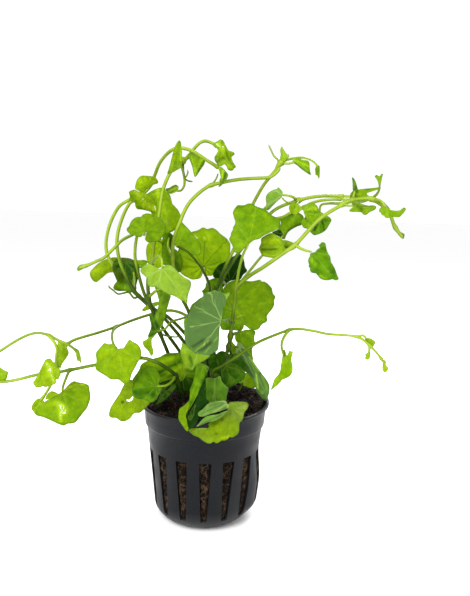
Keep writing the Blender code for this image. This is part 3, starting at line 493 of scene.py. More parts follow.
# %% Leaf skin
def leaf_sheet(plan):
    """The blade's middle surface, from its pole outwards (ring, ray, 3), and its finish.

    Ring 0 is the pole on its own, repeated for each ray. The pole is the heart, or the
    middle of a blade whose heart lies too near its margin.
    """
    heart, length, directions = leaf_frame(plan)
    margin = smooth_loop(plan["outline"], MARGIN_STEP_PIXELS, MARGIN_LEAST_STEPS)
    edge = on_plane(margin, heart, directions[2])
    pole = on_plane([plan["middle"] or plan["heart"][:2]], heart, directions[2])
    rings = max(int(np.linalg.norm(edge - pole, axis=1).max() / RING_STEP), LEAST_RINGS)
    share = (np.arange(rings + 1) / rings)[:, None]
    flat = pole + share[..., None] * (edge - pole)
    across, along, _ = np.moveaxis((flat - heart) @ directions.T, -1, 0)
    share = np.broadcast_to(share, across.shape)
    height = blade_height(across, along, share, length, plan)
    height = height + strokes(flat, plan["creases"]) * MM
    towards = CAMERA_PLACE - flat
    distance = np.linalg.norm(towards, axis=-1)
    slope = np.maximum(towards @ directions[2] / distance, STEEPEST)
    places = flat + towards * (height / slope / distance)[..., None]
    turn = np.arctan2(across, along)
    vein = np.abs(turn) / math.tau * plan["veins"]
    blade = np.stack([vein, share, np.hypot(across, along) / MM], axis=-1)
    light, yellow = plan["tone"]
    # painted light and shade: the shade gradient along the midrib and the spots lighten lit parts,
    # darken shaded parts, and paint highlights and glints on the blade
    light = light + plan["shade"] * share * np.cos(turn) + strokes(flat, plan["spots"])
    return directions[2], places, blade, np.stack([light, np.full_like(light, yellow)], axis=-1)


def both_sides(near, far):
    """Marks in the order of a blade's points: near side outwards, rim, and far side inwards."""
    body = np.concatenate([near[1:], near[-1:], far[:0:-1]]).reshape(-1, 3)
    return np.vstack([near[:1, 0], body, far[:1, 0]])


def leaf_skin(plan):
    """A closed blade: the middle surface moved half a thickness along its normals, both ways.

    The normal is the cross product of the grid's two directions. The thickness falls from
    the heart to seven tenths at the margin, where one more ring rounds it off.
    """
    facing, places, blade, tone = leaf_sheet(plan)
    outward = np.gradient(places, axis=0)[1:]
    pole, places = places[0, 0], places[1:]
    around = np.roll(places, -1, axis=1) - np.roll(places, 1, axis=1)
    normals = unit(np.cross(around, outward))
    normals = normals * np.sign(np.mean(normals @ facing))
    half = LEAF_THICKNESS / 2 * (1.0 - MARGIN_THINNING * blade[1:, :, 1:2])
    rim = places[-1:] + unit(outward[-1:]) * LEAF_THICKNESS * RIM_REACH
    rows = np.concatenate([places + normals * half, rim, (places - normals * half)[::-1]])
    centre = unit(normals[0].mean(axis=0)) * LEAF_THICKNESS / 2
    upper, under = -float(plan["dark_veins"]), float(plan["underside"])
    near, far = (under, upper) if under else (upper, 1.0)
    near = np.concatenate([tone, np.full_like(tone[..., :1], near)], axis=-1)
    far = np.concatenate([tone, np.full_like(tone[..., :1], far)], axis=-1)
    tone, blade = both_sides(near, far), both_sides(blade, blade)
    return closed_skin(rows, pole + centre, pole - centre, blade=blade, tone=tone)


print("leaf thickness", LEAF_THICKNESS / MM, "mm")

# %% [markdown]
# ## The net pot
#
# The pot is one moulding of black polypropylene: a flat lip, a plain collar, a small ledge,
# and a tapered wall with fifteen upright slots that narrow downwards into the rounded base.
# It is drawn as two grids of turns and profile steps, the outside and the inside. Beside a
# slot the columns of both grids follow its edges, so the cells inside the slot can be left
# out cleanly, and its four edges are walled across from one grid to the other.

# %% Pot profile and columns
SLOT_COUNT = 15
SLOT_TURN = math.radians(1.4)
SLOT_TOP, SLOT_BOTTOM = 31.2, 4.8
SLOT_TOP_WIDTH, SLOT_BOTTOM_WIDTH = 5.0, 2.4
BASE_RADIUS, CORNER_RADIUS, WALL = 21.2, 8.0, 1.2
LEDGE_RADIUS, LEDGE_HEIGHT = 24.8, 41.0
LIP_FOOT, LIP_WARP, LIP_TO_RIGHT, LIP_TO_BACK = 48.4, 1.9, 0.8, 0.45
BULGE, BULGE_SIDE, BULGE_SIDE_EDGE = 2.4, 0.7, 0.25
BULGE_FOOT, BULGE_FOOT_EDGE, BULGE_TOP, BULGE_TOP_EDGE = 1.5, 7.0, 33.0, 18.0
TOP_HEIGHTS = [50.0, 49.85, 49.5, 49.1, 48.85, 48.75, 48.4, 45.0, 41.9, 41.4, 41.1, 40.95, 40.6]
OUTSIDE = [27.2, 27.45, 27.5, 27.4, 27.0, 26.4, 26.2, 25.9, 25.65, 25.5, 25.2, 24.9, 24.8]
INSIDE = [26.5, 26.25, 26.05, 25.8, 25.5, 25.2, 24.95, 24.3, 23.85, 23.75, 23.7, 23.65, 23.6]
ABOVE_SLOT = [38.0, 34.5, 32.2]
SLOT_ROWS, CORNER_STEPS = 11, 6
WALL_HEIGHTS = np.concatenate([ABOVE_SLOT, np.linspace(SLOT_TOP, 9.6, SLOT_ROWS)])
SLOT_CELLS, RIB_CELLS = 4, 4
DRAINS, DRAIN_CIRCLE, DRAIN_RADIUS, SPOKE_POINTS = 5, 8.0, 1.6, 5


def pot_side(top_radii, inset):
    """Radius and height of one side of the wall, down from its top steps to the flat base.

    The wall is straight from the ledge to the corner. The corner is a quarter circle whose
    steps meet the slot's lower end: radius = centre + reach cos a, height = centre - reach sin a.
    """
    at_slot = math.asin(1.0 - SLOT_BOTTOM / CORNER_RADIUS)
    upper = np.linspace(0.0, at_slot, CORNER_STEPS)
    angles = np.concatenate([upper, np.linspace(at_slot, math.pi / 2, CORNER_STEPS)[1:]])
    reach = CORNER_RADIUS - inset
    corner_radius = BASE_RADIUS - CORNER_RADIUS + reach * np.cos(angles)
    corner_height = CORNER_RADIUS - reach * np.sin(angles)
    wall_ends = [BASE_RADIUS - inset, LEDGE_RADIUS - inset]
    wall_radius = np.interp(WALL_HEIGHTS, [CORNER_RADIUS, LEDGE_HEIGHT], wall_ends)
    radius = np.concatenate([top_radii, wall_radius, corner_radius])
    return np.stack([radius, np.concatenate([TOP_HEIGHTS, WALL_HEIGHTS, corner_height])], axis=1)


outer_side, inner_side = pot_side(OUTSIDE, 0.0), pot_side(INSIDE, WALL)
first_row = len(TOP_HEIGHTS) + len(ABOVE_SLOT)
last_row = first_row + SLOT_ROWS - 1 + CORNER_STEPS
print("slot from height", outer_side[first_row, 1], "to", round(outer_side[last_row, 1], 2))

# %% Pot columns
def pot_columns():
    """Turns (row, column): each slot's columns lie at shares of its half width, then the rib's."""
    radius, height = outer_side.T
    down = np.clip((SLOT_TOP - height) / (SLOT_TOP - SLOT_BOTTOM), 0.0, 1.0)
    width = SLOT_TOP_WIDTH + (SLOT_BOTTOM_WIDTH - SLOT_TOP_WIDTH) * down
    edge = (width / 2 / np.maximum(radius, BASE_RADIUS - 2.0))[:, None]
    slot_part = edge * np.linspace(-1.0, 1.0, SLOT_CELLS + 1)
    period = math.tau / SLOT_COUNT
    rib_part = edge + (period - 2 * edge) * np.linspace(0.0, 1.0, RIB_CELLS + 1)[1:-1]
    one = np.concatenate([slot_part, rib_part], axis=1)
    turns = one[:, None, :] + (np.arange(SLOT_COUNT) * period)[None, :, None]
    return turns.reshape(len(radius), -1) + SLOT_TURN - math.pi / 2


def warped_lip(places):
    """The lip is thicker, and stands higher, towards its right and its back."""
    towards = LIP_TO_RIGHT * places[:, 0] + LIP_TO_BACK * places[:, 1]
    share = np.clip((places[:, 2] - LIP_FOOT) / (TOP_HEIGHTS[0] - LIP_FOOT), 0.0, 1.0)
    rise = LIP_WARP * share * np.clip(towards / OUTSIDE[0], 0.0, 1.0)
    return places + rise[:, None] * [0.0, 0.0, 1.0]


def eased(share):
    """A share from 0 to 1 that starts and ends gently: s * s * (3 - 2 s)."""
    share = np.clip(share, 0.0, 1.0)
    return share * share * (3.0 - 2.0 * share)


def bulged(places):
    """The lower wall is pressed out at its right side, most at a height of 8.5 to 15 mm."""
    x, y, z = np.moveaxis(places, -1, 0) / MM
    level = eased((z - BULGE_FOOT) / BULGE_FOOT_EDGE) * eased((BULGE_TOP - z) / BULGE_TOP_EDGE)
    side = eased((x / np.maximum(np.hypot(x, y), 1.0) - BULGE_SIDE) / BULGE_SIDE_EDGE)
    return places + (BULGE * MM * level * side)[..., None] * [1.0, 0.0, 0.0]


def turned(side, turns):
    """A side carried round the pot's axis: (radius cos turn, radius sin turn, height) in mm."""
    x, y = side[:, :1] * np.cos(turns), side[:, :1] * np.sin(turns)
    z = np.broadcast_to(side[:, 1:], turns.shape)
    return np.stack([x, y, z], axis=-1).reshape(-1, 3)


turns = pot_columns()
columns = turns.shape[1]
rows = len(outer_side)
walls = np.concatenate([turned(side, turns) for side in (outer_side, inner_side)])
walls = bulged(warped_lip(walls) * MM)
outer = np.arange(rows * columns).reshape(rows, columns)
inner = outer + rows * columns
print("pot grid:", rows, "rows of", columns, "columns")

# %% [markdown]
# The flat base has five drain holes. Round each hole one sector of the base is a strip of
# faces from the sector's outline to the hole's rim, with both in the same directions as seen
# from the hole. All parts are then welded along their shared edges into one closed body.

# %% Make the pot
def strip(a, b):
    """Quads between two rows of vertex numbers: a, next a, next b, b."""
    return np.stack([a[:-1], a[1:], b[1:], b[:-1]], axis=1)


def slot_faces(first_column):
    """The four walls of one slot, from the outside grid to the inside grid."""
    left, right = first_column, first_column + SLOT_CELLS
    down = slice(first_row, last_row + 1)
    across = slice(left, right + 1)
    return [
        strip(outer[down, left], inner[down, left]),
        strip(outer[down, right], inner[down, right])[:, ::-1],
        strip(outer[first_row, across], inner[first_row, across])[:, ::-1],
        strip(outer[last_row, across], inner[last_row, across]),
    ]


def base_sector(sector, height, start):
    """One sector of the base at a height: its places, and quads from its outline to its hole."""
    per_sector = columns // DRAINS
    picks = (np.arange(per_sector + 1) + sector * per_sector) % columns
    side = outer_side if height == 0.0 else inner_side
    arc = side[-1, 0] * np.stack([np.cos(turns[-1, picks]), np.sin(turns[-1, picks])], axis=1)
    inward = arc[-1] * np.linspace(1.0, 0.0, SPOKE_POINTS)[1:, None]
    outward = arc[0] * np.linspace(0.0, 1.0, SPOKE_POINTS)[1:-1, None]
    outline = np.concatenate([arc, inward, outward])
    middle = unit(arc[per_sector // 2]) * DRAIN_CIRCLE
    rim = middle + unit(outline - middle) * DRAIN_RADIUS
    flat = np.concatenate([outline, rim])
    places = np.concatenate([flat, np.full((len(flat), 1), height)], axis=1) * MM
    ring = np.arange(len(outline) + 1) % len(outline) + start
    return places, strip(ring, ring + len(outline)), ring + len(outline)


def build_pot():
    """Gathers the walls, the slots and the base into the places and faces of one body, for welding.
    """
    around = np.arange(columns + 1) % columns
    faces = []
    slot_columns = np.arange(columns) % (SLOT_CELLS + RIB_CELLS) < SLOT_CELLS
    for row in range(rows - 1):
        kept = ~slot_columns if first_row <= row < last_row else np.ones(columns, bool)
        faces.append(strip(outer[row, around], outer[row + 1, around])[kept][:, ::-1])
        faces.append(strip(inner[row, around], inner[row + 1, around])[kept])
    faces.append(strip(outer[0, around], inner[0, around]))
    for slot in range(SLOT_COUNT):
        faces += slot_faces(slot * (SLOT_CELLS + RIB_CELLS))
    vertices = [walls]
    count = len(walls)
    for sector in range(DRAINS):
        low, low_faces, low_rim = base_sector(sector, 0.0, count)
        high, high_faces, high_rim = base_sector(sector, WALL, count + len(low))
        count += len(low) + len(high)
        vertices += [low, high]
        faces += [low_faces[:, ::-1], high_faces, strip(low_rim, high_rim)[:, ::-1]]
    return np.concatenate(vertices), np.concatenate(faces)


pot_vertices, pot_faces = build_pot()
print("pot faces before welding:", len(pot_faces))

# %% [markdown]
# ## Black polypropylene
#
# The pot's plastic is injection moulded and has a satin skin: near black, a little blue, with
# soft grey reflections at its sides. Water has run down it, so its gloss varies in patches, and
# the mould has left a faint grain. Its foot is painted paler, a painted reflection of the white
# floor. The grain is drawn at 0.6 mm, coarser than the real one, because that is the finest
# that the picture shows.

# %% Pot material
PATCH_SIZE, MOULD_GRAIN = 9 * MM, 0.6 * MM
# painted reflection of the white floor: below these heights the pot's foot is painted paler
PAINTED_REFLECTION_LOW, PAINTED_REFLECTION_HIGH, PAINTED_REFLECTION_MOST = 1 * MM, 9 * MM, 0.8


def pot_material():
    """Injection-moulded polypropylene: satin near black, soft sheen, patchy from water."""
    material, tree, shader, _ = blank_material("black_moulded_polypropylene")
    place = add(tree, "TexCoord").outputs["Object"]
    patches = add(tree, "TexNoise", None,
                  {"Vector": place, "Scale": 1 / PATCH_SIZE, "Detail": 4.0}).outputs[0]
    grain = add(tree, "TexNoise", None,
                {"Vector": place, "Scale": 1 / MOULD_GRAIN, "Detail": 2.0}).outputs[0]
    rough = add(tree, "MapRange", None, {0: patches, 1: 0.35, 2: 0.65, 3: 0.36, 4: 0.52}).outputs[0]
    shade = add(tree, "MapRange", None, {0: grain, 1: 0.3, 2: 0.7, 3: 0.0, 4: 1.0}).outputs[0]
    colour = add(tree, "Mix", {"data_type": "RGBA"},
                 {0: shade, 6: linear("#08090C"), 7: linear("#111318")}).outputs[2]
    height = add(tree, "SeparateXYZ", None, {0: place}).outputs["Z"]
    # painted reflection: the foot is painted paler, where the white floor would brighten it
    painted_reflection = add(tree, "MapRange", None,
                  {0: height, 1: PAINTED_REFLECTION_LOW, 2: PAINTED_REFLECTION_HIGH, 3: PAINTED_REFLECTION_MOST, 4: 0.0}).outputs[0]
    colour = add(tree, "Mix", {"data_type": "RGBA"},
                 {0: painted_reflection, 6: colour, 7: linear("#3A3B3C")}).outputs[2]
    tree.links.new(colour, shader.inputs["Base Color"])
    tree.links.new(rough, shader.inputs["Roughness"])
    shader.inputs["IOR"].default_value = 1.49
    shader.inputs["Specular IOR Level"].default_value = 0.15
    bump = add(tree, "Bump", None, {"Height": grain, "Distance": 0.04 * MM, "Strength": 0.6})
    tree.links.new(bump.outputs[0], shader.inputs["Normal"])
    return material


POLYPROPYLENE = pot_material()
print("pot plastic:", POLYPROPYLENE.name)

# %% Pot piece
WELD, EDGE_WIDTH = 0.001 * MM, 0.18 * MM
SHARP_ANGLE, EDGE_ANGLE = math.radians(40), math.radians(50)
no_triangles = np.zeros((0, 3), int)
pot_skin = {"vertices": pot_vertices, "quads": pot_faces, "triangles": no_triangles, "material": 0}
pot = build_piece("moulded_net_pot", [pot_skin], [POLYPROPYLENE])
shape = bmesh.new()
shape.from_mesh(pot.data)
bmesh.ops.remove_doubles(shape, verts=shape.verts, dist=WELD)
loose_edges = sum(1 for edge in shape.edges if len(edge.link_faces) != 2)
shape.to_mesh(pot.data)
shape.free()
pot.data.set_sharp_from_angle(angle=SHARP_ANGLE)
bevel = pot.modifiers.new("moulded_edges", "BEVEL")
bevel.width = EDGE_WIDTH
bevel.segments = 2
bevel.limit_method = "ANGLE"
bevel.angle_limit = EDGE_ANGLE
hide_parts("net_pot")
print("pot faces:", len(pot.data.polygons), "open edges:", loose_edges)

# %% [markdown]
# ## The growing medium
#
# A plug of brown fibre, such as coir or peat, fills the pot. Its top is an uneven mound of
# lumps, crumbs and loose fibres, nearly black where it is wet and red-brown where it is dry.
# In the slots it swells out between the ribs of the pot. The plug is one closed skin whose
# rows run from the middle of the top over the edge, down the side and under to the middle of
# the base. Lumps come from waves that cross in all directions, added up in three sizes.

# %% Lumpy surface of the plug
MOUND_TOP = 51.5 * MM
MOUND_FALL = 2.6 * MM
MOUND_HEAP = 4.2 * MM
INNER_RADIUS = 24.7 * MM
NECK_RADIUS = 23.3 * MM
COLLAR_HEIGHT = 46.0
PLUG_GAP = 0.3
PLUG_COLUMNS, MOUND_ROWS, SIDE_ROWS, FOOT_ROWS = 240, 30, 58, 9
SIDE_TOP, SIDE_FOOT = 48.0, 8.6
SLOT_RADIUS = 22.0
SWELL, SWELL_POWER = 1.3, 0.35
SWELL_TOP_EDGE, SWELL_FOOT, SWELL_FOOT_EDGE = 1.5, 4.5, 3
WAVES = 22
LUMP_LIFT = 2.0
LUMP_SIZES = (5.0, 2.0, 0.9)
dice = np.random.default_rng(11)


def dome(radius):
    """Height of an even mound: top - fall * (radius / inner radius) cubed."""
    return MOUND_TOP - MOUND_FALL * np.minimum(radius / INNER_RADIUS, 1.0) ** 3


def heap(x, y):
    """How much higher the medium is heaped up towards its back and its right."""
    return np.clip((0.5 * x + 0.8 * y) / INNER_RADIUS, 0.0, 1.0) * MOUND_HEAP


def mound_height(x, y):
    """Height of the medium at a place: dome and heap together."""
    return dome(np.hypot(x, y)) + heap(x, y)


def lumps(places, size, seed):
    """Lumpy noise, mostly from -1 to 1: sines along random directions, added up and scaled.

    A lump is half a wave and is about size mm across.
    """
    chance = np.random.default_rng(seed)
    directions = unit(chance.normal(size=(3, WAVES)).T).T / (size * MM)
    directions = directions * chance.uniform(0.7, 1.4, WAVES)
    phases = chance.uniform(0.0, math.tau, WAVES)
    return np.sin(places @ directions * math.pi + phases).sum(axis=-1) / math.sqrt(WAVES)


def plug_profile():
    """Radius and height of the plug: the mound's radii, then the side and the corner."""
    mound = np.linspace(0.0, 1.0, MOUND_ROWS)[1:] * INNER_RADIUS
    side = np.linspace(SIDE_TOP, SIDE_FOOT, SIDE_ROWS) * MM
    inset = WALL + PLUG_GAP
    side_radius = np.interp(side, [CORNER_RADIUS * MM, LEDGE_HEIGHT * MM, COLLAR_HEIGHT * MM],
                            [(BASE_RADIUS - inset) * MM, NECK_RADIUS, INNER_RADIUS])
    angle = np.linspace(0.0, math.pi / 2, FOOT_ROWS)
    reach = (CORNER_RADIUS - inset) * MM
    corner_radius = (BASE_RADIUS - CORNER_RADIUS) * MM + reach * np.cos(angle)
    corner_height = CORNER_RADIUS * MM - reach * np.sin(angle)
    radius = np.concatenate([mound, side_radius, corner_radius])
    height = np.concatenate([dome(mound), side, corner_height])
    return radius, height


def in_slot(angle, height):
    """From 0 on the ribs to 1 in the middle of a slot, at an angle and a height in metres."""
    period = math.tau / SLOT_COUNT
    off = ping(angle - SLOT_TURN + math.pi / 2, period / 2)
    down = np.clip((SLOT_TOP * MM - height) / ((SLOT_TOP - SLOT_BOTTOM) * MM), 0.0, 1.0)
    width = SLOT_TOP_WIDTH + (SLOT_BOTTOM_WIDTH - SLOT_TOP_WIDTH) * down
    half_width = width / 2 * MM / (SLOT_RADIUS * MM)
    inside = np.clip((half_width - off) / half_width, 0.0, 1.0)
    inside = inside * np.clip((SLOT_TOP * MM - height) / (SWELL_TOP_EDGE * MM), 0.0, 1.0)
    above_foot = np.clip((height - SWELL_FOOT * MM) / (SWELL_FOOT_EDGE * MM), 0.0, 1.0)
    return inside ** SWELL_POWER * above_foot


def plug_rows():
    """The plug's rows: a profile turned round, with lumps on top and swellings in the slots."""
    radius, height = plug_profile()
    angle = np.arange(PLUG_COLUMNS) / PLUG_COLUMNS * math.tau
    radius, height, angle = radius[:, None], height[:, None], angle[None, :]
    x, y = radius * np.cos(angle), radius * np.sin(angle)
    places = np.stack(np.broadcast_arrays(x, y, height), axis=-1)
    coarse, middle, fine = (lumps(places, size, seed) for seed, size in enumerate(LUMP_SIZES, 1))
    rough = 0.50 * coarse + 0.34 * np.abs(middle) + 0.16 * fine
    on_top = np.clip((height - COLLAR_HEIGHT * MM) / (2 * MM), 0.0, 1.0)
    inner = np.clip((INNER_RADIUS - radius) / (3 * MM), 0.0, 1.0)
    lift = on_top * ((0.25 + 0.75 * inner) * rough * LUMP_LIFT * MM + heap(x, y))
    uneven = 0.85 + 0.3 * middle + 0.2 * fine
    swell = (1.0 - on_top) * in_slot(angle, height) * uneven * SWELL * MM
    outward = np.stack(np.broadcast_arrays(np.cos(angle), np.sin(angle), 0.0 * radius), axis=-1)
    return places + lift[..., None] * [0.0, 0.0, 1.0] + swell[..., None] * outward


plug = bulged(plug_rows())
plug_skin = closed_skin(plug, plug[0].mean(axis=0), plug[-1].mean(axis=0))
print("plug quads:", len(plug_skin["quads"]))

# %% [markdown]
# Crumbs and fibres are small and many, so each has only a few dozen faces. A crumb is a
# little ball drawn out and dented at random. A fibre is a thin bent tube that lies on the
# mound, with its two ends pushed into it. All crumbs are worked out at once, and so are all
# fibres, from lists of places, sizes and directions.

# %% Crumbs and fibres
CRUMBS, CRUMB_REACH, CRUMB_ROWS, CRUMB_COLUMNS = 520, 22.5 * MM, 5, 7
FIBRES, FIBRE_REACH, FIBRE_LENGTH, FIBRE_LIFT = 420, 21.5 * MM, 7.0 * MM, 1.0 * MM
FIBRE_RADIUS, FIBRE_STEPS, FIBRE_SIDES = 0.11 * MM, 9, 4
CRUMB_LOW, CRUMB_HIGH = 6.0, 30.5
UPWARDS = np.array([0.0, 0.0, 1.0])


def mound_places(count, reach):
    """Places spread evenly over the mound: radius = reach * sqrt of a share."""
    angle = dice.uniform(0.0, math.tau, count)
    radius = reach * np.sqrt(dice.uniform(0.0, 1.0, count))
    x, y = radius * np.cos(angle), radius * np.sin(angle)
    return np.stack([x, y, mound_height(x, y)], axis=1)


def slot_places(count):
    """Places on the plug's side in the middle parts of the slots."""
    slot = dice.integers(0, SLOT_COUNT, count)
    height = dice.uniform(CRUMB_LOW, CRUMB_HIGH, count) * MM
    level = (height / MM - CRUMB_LOW) / (CRUMB_HIGH - CRUMB_LOW)
    off = dice.uniform(-1.0, 1.0, count) * (0.6 + 1.0 * level) / SLOT_RADIUS
    angle = math.tau * slot / SLOT_COUNT + SLOT_TURN - math.pi / 2 + off
    wall_ends = [BASE_RADIUS - WALL, LEDGE_RADIUS - WALL]
    radius = np.interp(height / MM, [CORNER_RADIUS, LEDGE_HEIGHT], wall_ends) * MM
    return bulged(np.stack([radius * np.cos(angle), radius * np.sin(angle), height], axis=1))


def many_skins(rows, starts, ends):
    """Closed skins for a stack of row grids (piece, row, column, 3), written as one."""
    one = closed_skin(rows[0], starts[0], ends[0])
    pieces, size = len(rows), len(one["vertices"])
    vertices = np.concatenate([starts[:, None], rows.reshape(pieces, -1, 3), ends[:, None]], axis=1)
    shift = (np.arange(pieces) * size)[:, None, None]
    return {
        "vertices": vertices.reshape(-1, 3), "material": 0,
        "quads": (one["quads"][None] + shift).reshape(-1, 4),
        "triangles": (one["triangles"][None] + shift).reshape(-1, 3),
    }


def crumb_skin(centres, sizes):
    """Dented balls: centre + size * stretch * (1 + dents) * unit direction, 5 rows of 7."""
    tilt = np.linspace(0.0, math.pi, CRUMB_ROWS + 2)[1:-1][:, None]
    spin = np.arange(CRUMB_COLUMNS)[None, :] / CRUMB_COLUMNS * math.tau
    x, y, z = np.sin(tilt) * np.cos(spin), np.sin(tilt) * np.sin(spin), np.cos(tilt) + 0 * spin
    ball = np.stack([x, y, z], axis=-1)
    stretch = dice.uniform(0.5, 1.3, (len(centres), 1, 1, 3))
    dents = 1.0 + dice.uniform(-0.25, 0.25, (len(centres), *ball.shape[:2], 1))
    sizes = sizes[:, None, None, None]
    rows = centres[:, None, None] + ball * dents * stretch * sizes
    to_pole = stretch[:, 0, 0] * sizes[:, 0, 0] * UPWARDS
    return many_skins(rows, centres + to_pole, centres - to_pole)


def fibre_skin(middles, length, lift):
    """Thin arcs that are bowed to one side, with a raised middle and sunken ends.

    For t from -1 to 1 they run through middle + along * half * t + across * bow * (1 - t^2),
    and rise * (1 - 2 t^2) above that.
    """
    count = len(middles)
    heading = dice.uniform(0.0, math.tau, count)
    t = np.linspace(-1.0, 1.0, FIBRE_STEPS)[None, :, None]
    climb = dice.uniform(-0.3, 0.3, count)
    along = np.stack([np.cos(heading), np.sin(heading), climb], axis=1)[:, None]
    across = np.stack([-np.sin(heading), np.cos(heading), 0 * heading], axis=1)[:, None]
    half = (dice.uniform(0.4, 1.0, count) * length / 2)[:, None, None]
    bow = dice.uniform(-0.5, 0.5, count)[:, None, None] * half
    path = middles[:, None] + along * t * half + across * bow * (1 - t ** 2)
    rise = (dice.uniform(0.2, 1.0, count) * lift)[:, None, None]
    path = path + UPWARDS * (1 - 2 * t ** 2) * rise
    tangent = unit(np.gradient(path, axis=1))
    side = unit(np.cross(tangent, [0.0, 0.1, 1.0]))
    other = np.cross(side, tangent)
    spin = np.arange(FIBRE_SIDES) / FIBRE_SIDES * math.tau
    ring = np.cos(spin)[:, None] * side[:, :, None] + np.sin(spin)[:, None] * other[:, :, None]
    thick = FIBRE_RADIUS * dice.uniform(0.6, 1.3, count)[:, None, None, None]
    return many_skins(path[:, :, None] + ring * thick, path[:, 0], path[:, -1])


crumbs = crumb_skin(
    np.concatenate([mound_places(CRUMBS, CRUMB_REACH), slot_places(CRUMBS)]),
    np.concatenate([dice.uniform(0.25, 0.95, CRUMBS), dice.uniform(0.2, 0.5, CRUMBS)]) * MM,
)
fibres = fibre_skin(mound_places(FIBRES, FIBRE_REACH), FIBRE_LENGTH, FIBRE_LIFT)
print("crumb faces:", len(crumbs["quads"]), "fibre faces:", len(fibres["quads"]))

# %% [markdown]
# ## Wet and dry fibre
#
# The medium is damp plant fibre. Wet hollows look nearly black, and lumps that stand up dry
# to a reddish brown, so the colour mixes by a noise of about 2 mm, with drier patches of
# some 7 mm and a finer grain of 0.4 to 0.5 mm over it. Its open top is darker than its
# sides. It hardly shines.

# %% Medium materials and pieces
LUMP_SIZE, DRY_SIZE = 2 * MM, 7 * MM
# the fibre is darker towards the top of the plug, between these two heights
DARKER_TOP_LOW, DARKER_TOP_HIGH = 44 * MM, 48 * MM


def fibre_material(name, dark, brown, pale, grain_size):
    """Damp coir or peat fibre: matt, nearly black in wet hollows, red-brown where dry."""
    material, tree, shader, _ = blank_material(name)
    place = add(tree, "TexCoord").outputs["Object"]
    wet = add(tree, "TexNoise", None,
              {"Vector": place, "Scale": 1 / LUMP_SIZE, "Detail": 4.0}).outputs[0]
    wet = add(tree, "Math", {"operation": "MULTIPLY"}, {0: wet, 1: 0.65}).outputs[0]
    dried = add(tree, "TexNoise", None,
                {"Vector": place, "Scale": 1 / DRY_SIZE, "Detail": 2.0}).outputs[0]
    dried = add(tree, "MapRange", None, {0: dried, 1: 0.42, 2: 0.62, 3: -0.04, 4: 0.07}).outputs[0]
    wet = add(tree, "Math", {"operation": "ADD"}, {0: wet, 1: dried}).outputs[0]
    grain = add(tree, "TexNoise", None, {
        "Vector": place, "Scale": 1 / (grain_size * MM), "Detail": 4.0, "Roughness": 0.7,
    }).outputs[0]
    level = add(tree, "SeparateXYZ", None, {0: place}).outputs["Z"]
    # darker towards the top of the plug
    darker_top = add(tree, "MapRange", None,
                 {0: level, 1: DARKER_TOP_LOW, 2: DARKER_TOP_HIGH, 3: 0.0, 4: -0.07}).outputs[0]
    wet = add(tree, "Math", {"operation": "ADD"}, {0: wet, 1: darker_top}).outputs[0]
    mixed = add(tree, "Math", {"operation": "MULTIPLY_ADD"}, {0: grain, 1: 1.15, 2: wet}).outputs[0]
    ramp_node = add(tree, "ValToRGB", None, {0: mixed})
    ramp = ramp_node.color_ramp.elements
    ramp[0].position, ramp[0].color = 0.70, linear(dark)
    ramp[1].position, ramp[1].color = 1.15, linear(pale)
    ramp.new(0.95).color = linear(brown)
    tree.links.new(ramp_node.outputs[0], shader.inputs["Base Color"])
    shader.inputs["Roughness"].default_value = 0.85
    shader.inputs["Specular IOR Level"].default_value = 0.08
    bump = add(tree, "Bump", None, {"Height": grain, "Distance": 0.5 * MM, "Strength": 1.0})
    tree.links.new(bump.outputs[0], shader.inputs["Normal"])
    return material


DAMP_FIBRE = fibre_material("damp_brown_fibre", "#050302", "#1A120C", "#48382A", 0.5)
DRY_FIBRE = fibre_material("dry_reddish_fibre", "#0E0906", "#2A1B13", "#573D29", 0.4)
plug_piece = build_piece("fibre_plug", [plug_skin], [DAMP_FIBRE])
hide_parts("growing_medium")
crumb_piece = build_piece("loose_crumbs", [crumbs], [DAMP_FIBRE])
fibre_piece = build_piece("loose_fibres", [fibres], [DRY_FIBRE])
print("medium pieces:", plug_piece.name, crumb_piece.name, fibre_piece.name)

# %% [markdown]
# ## The plant's plan
#
# The plant is written down as a table. A stem has a route of stops, each a pixel with a
# depth, and starts on the medium or beside another stem. A leaf has its place on a stem, its
# heart, its tip, and the pixels at which its margin turns. The rest says how it is folded,
# bent, cupped and turned. The same kind of leaf looks different over the plant: young ones
# are yellow-green, old ones low down are darker, and undersides are paler, greyer and duller,
# with raised veins. So a tone says how light a leaf is, from 0, a deep green, to 1, a fresh
# yellow-green, and how far it has turned yellow. A tone also holds painted shade and light:
# leaves in the plant's shadow are painted darker, and some in it are painted lighter.

# %% How the plan is written
STEMS = {}
LEAVES = {}


def stem(name, route, foot=None, on=None, thick=1.6, thin=1.35, tone=0.55, old=0.0):
    """Notes a stem, which starts on the medium at foot or beside the stem that on names.

    Old is the share of its length that is still the dark green of an old stem.
    """
    STEMS[name] = {
        "route": route, "foot": foot, "on": on, "radii": (thick / 2 * MM, thin / 2 * MM),
        "tone": tone, "old": old, "extras": [],
    }


# the spots add soft strokes to a blade's lightness: most are painted light, shade and highlights, and
# a few are real marks
PLAIN_LEAF = {
    "middle": (), "petiole": (), "turn": 0.0, "fold": 0.0, "bend": 0.0, "cup": 0.0, "lift": 0.0,
    "veins": 9, "pucker": 0.030, "wave": 0.015, "tone": (0.6, 0.0), "shade": 0.0, "stalk": 0.72,
    "underside": False, "dark_veins": False, "creases": (), "spots": (),
}


def leaf(name, on, at, heart, tip, outline, **shape):
    """Notes a leaf: its joint, its midrib and its margin in pixels, and what isn't plain in it.

    The seed shifts the waves of the margin, and mostly differs from leaf to leaf.
    """
    seed = 1.7 * len(LEAVES) + 0.9 * len(STEMS) + heart[0] % 7
    LEAVES[name] = {
        **PLAIN_LEAF, "on": on, "at": at, "heart": heart, "tip": tip, "outline": outline,
        "seed": seed, "flaps": [], **shape,
    }


